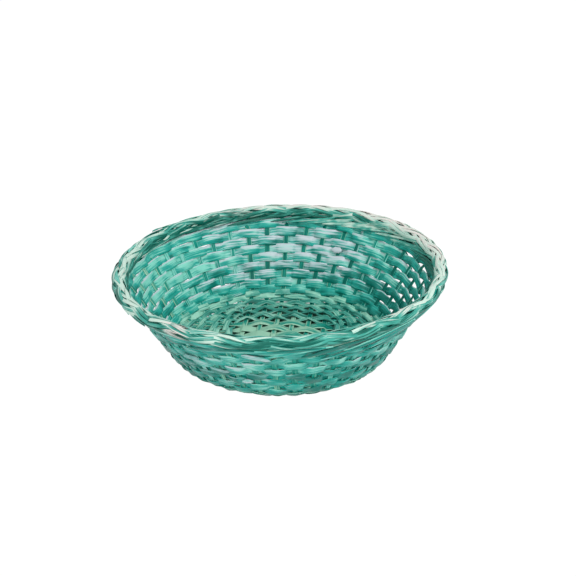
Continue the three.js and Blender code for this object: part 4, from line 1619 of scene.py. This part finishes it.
floor_material = bpy.data.materials.new("white floor")
floor_material.use_nodes = True
floor_mesh.materials.append(floor_material)
tree = floor_material.node_tree
place = node(tree, "ShaderNodeTexCoord")
away = node(tree, "ShaderNodeVectorMath", operation="DISTANCE")
feed(tree, away.inputs[0], place.outputs["Object"])
feed(tree, away.inputs[1], (0, SHADE_BEHIND, 0))
clear = smooth_step(tree, away.outputs["Value"], FOOT_RADIUS, FOOT_RADIUS + SHADE_EDGE)
paper = tree.nodes["Principled BSDF"]
feed(tree, paper.inputs["Roughness"], FLOOR_ROUGHNESS)
feed(tree, paper.inputs["Base Color"], mix_colour(tree, clear, SHADE_GREEN, FLOOR_GREY))
glow = node(tree, "ShaderNodeEmission")
feed(tree, glow.inputs["Strength"], BACKDROP_STRENGTH)
shown = math_node(tree, "MULTIPLY", seen_directly(tree), clear)
shown = math_node(tree, "MULTIPLY", shown, FLOOR_GLOW_SHARE)
mix_surfaces(tree, shown, paper.outputs["BSDF"], glow.outputs["Emission"], "Material Output")
print("the floor's side in metres:", FLOOR_SIZE)

# %% World and lamps
SKY = (0.96, 0.98, 1.0, 1)
SKY_STRENGTH = 0.62

world = bpy.data.worlds.new("studio")
bpy.context.scene.world = world
world.use_nodes = True
tree = world.node_tree
fill = tree.nodes["Background"]
backdrop = node(tree, "ShaderNodeBackground")
for background, colour, strength in (
    (fill, SKY, SKY_STRENGTH),
    (backdrop, WHITE, BACKDROP_STRENGTH),
):
    feed(tree, background.inputs["Color"], colour)
    feed(tree, background.inputs["Strength"], strength)
shown = seen_directly(tree)
fill_out, backdrop_out = fill.outputs["Background"], backdrop.outputs["Background"]
mix_surfaces(tree, shown, fill_out, backdrop_out, "World Output")


def lamp(name, place, size, power):
    """A square area lamp that faces the middle of the basket."""
    data = bpy.data.lights.new(name, "AREA")
    data.size = size
    data.energy = power
    away = Vector(place) - Vector((0, 0, RIM_HEIGHT / 2))
    made = bpy.data.objects.new(name, data)
    made.location = place
    made.rotation_mode = "QUATERNION"
    made.rotation_quaternion = away.to_track_quat("Z", "Y")
    bpy.context.scene.collection.objects.link(made)


lamp("key lamp", place=(0.75, -0.65, 1.15), size=0.7, power=12)
lamp("front lamp", place=(-0.3, -1.2, 0.5), size=0.9, power=5)
print("lamps:", len(bpy.data.lights))

# %% [markdown]
# ## Camera
# The view is from a little above and slightly to the right of the basket's own front, with a long
# lens. The aim is off the rim's centre by a few millimetres, which puts the basket where it sits in
# the picture without using lens shift.

# %% Camera
PICTURE_WIDTH = 576
SENSOR_WIDTH = 36.0
LENS = 92.0
CAMERA_DISTANCE = 1.11
CAMERA_ELEVATION = math.radians(25.2)
CAMERA_AZIMUTH = math.radians(5.0)
RIM_CENTRE_PIXEL = (280.4, 270.2)

back = Vector((
    math.sin(CAMERA_AZIMUTH) * math.cos(CAMERA_ELEVATION),
    -math.cos(CAMERA_AZIMUTH) * math.cos(CAMERA_ELEVATION),
    math.sin(CAMERA_ELEVATION),
))
turn_to = back.to_track_quat("Z", "Y")
right = turn_to @ Vector((1, 0, 0))
upward = turn_to @ Vector((0, 1, 0))
metres_a_pixel = CAMERA_DISTANCE * SENSOR_WIDTH / LENS / PICTURE_WIDTH
aside = (PICTURE_WIDTH / 2 - RIM_CENTRE_PIXEL[0]) * metres_a_pixel
below = (RIM_CENTRE_PIXEL[1] - PICTURE_WIDTH / 2) * metres_a_pixel
rim_centre = Vector((0, 0, RIM_HEIGHT))
camera_data = bpy.data.cameras.new("camera")
camera_data.sensor_width = SENSOR_WIDTH
camera_data.lens = LENS
camera = bpy.data.objects.new("camera", camera_data)
camera.rotation_mode = "QUATERNION"
camera.rotation_quaternion = turn_to
camera.location = rim_centre + back * CAMERA_DISTANCE + right * aside + upward * below
bpy.context.scene.collection.objects.link(camera)
bpy.context.scene.camera = camera
bpy.context.scene.view_settings.view_transform = "Standard"
print("camera at", tuple(round(value, 3) for value in camera.location))
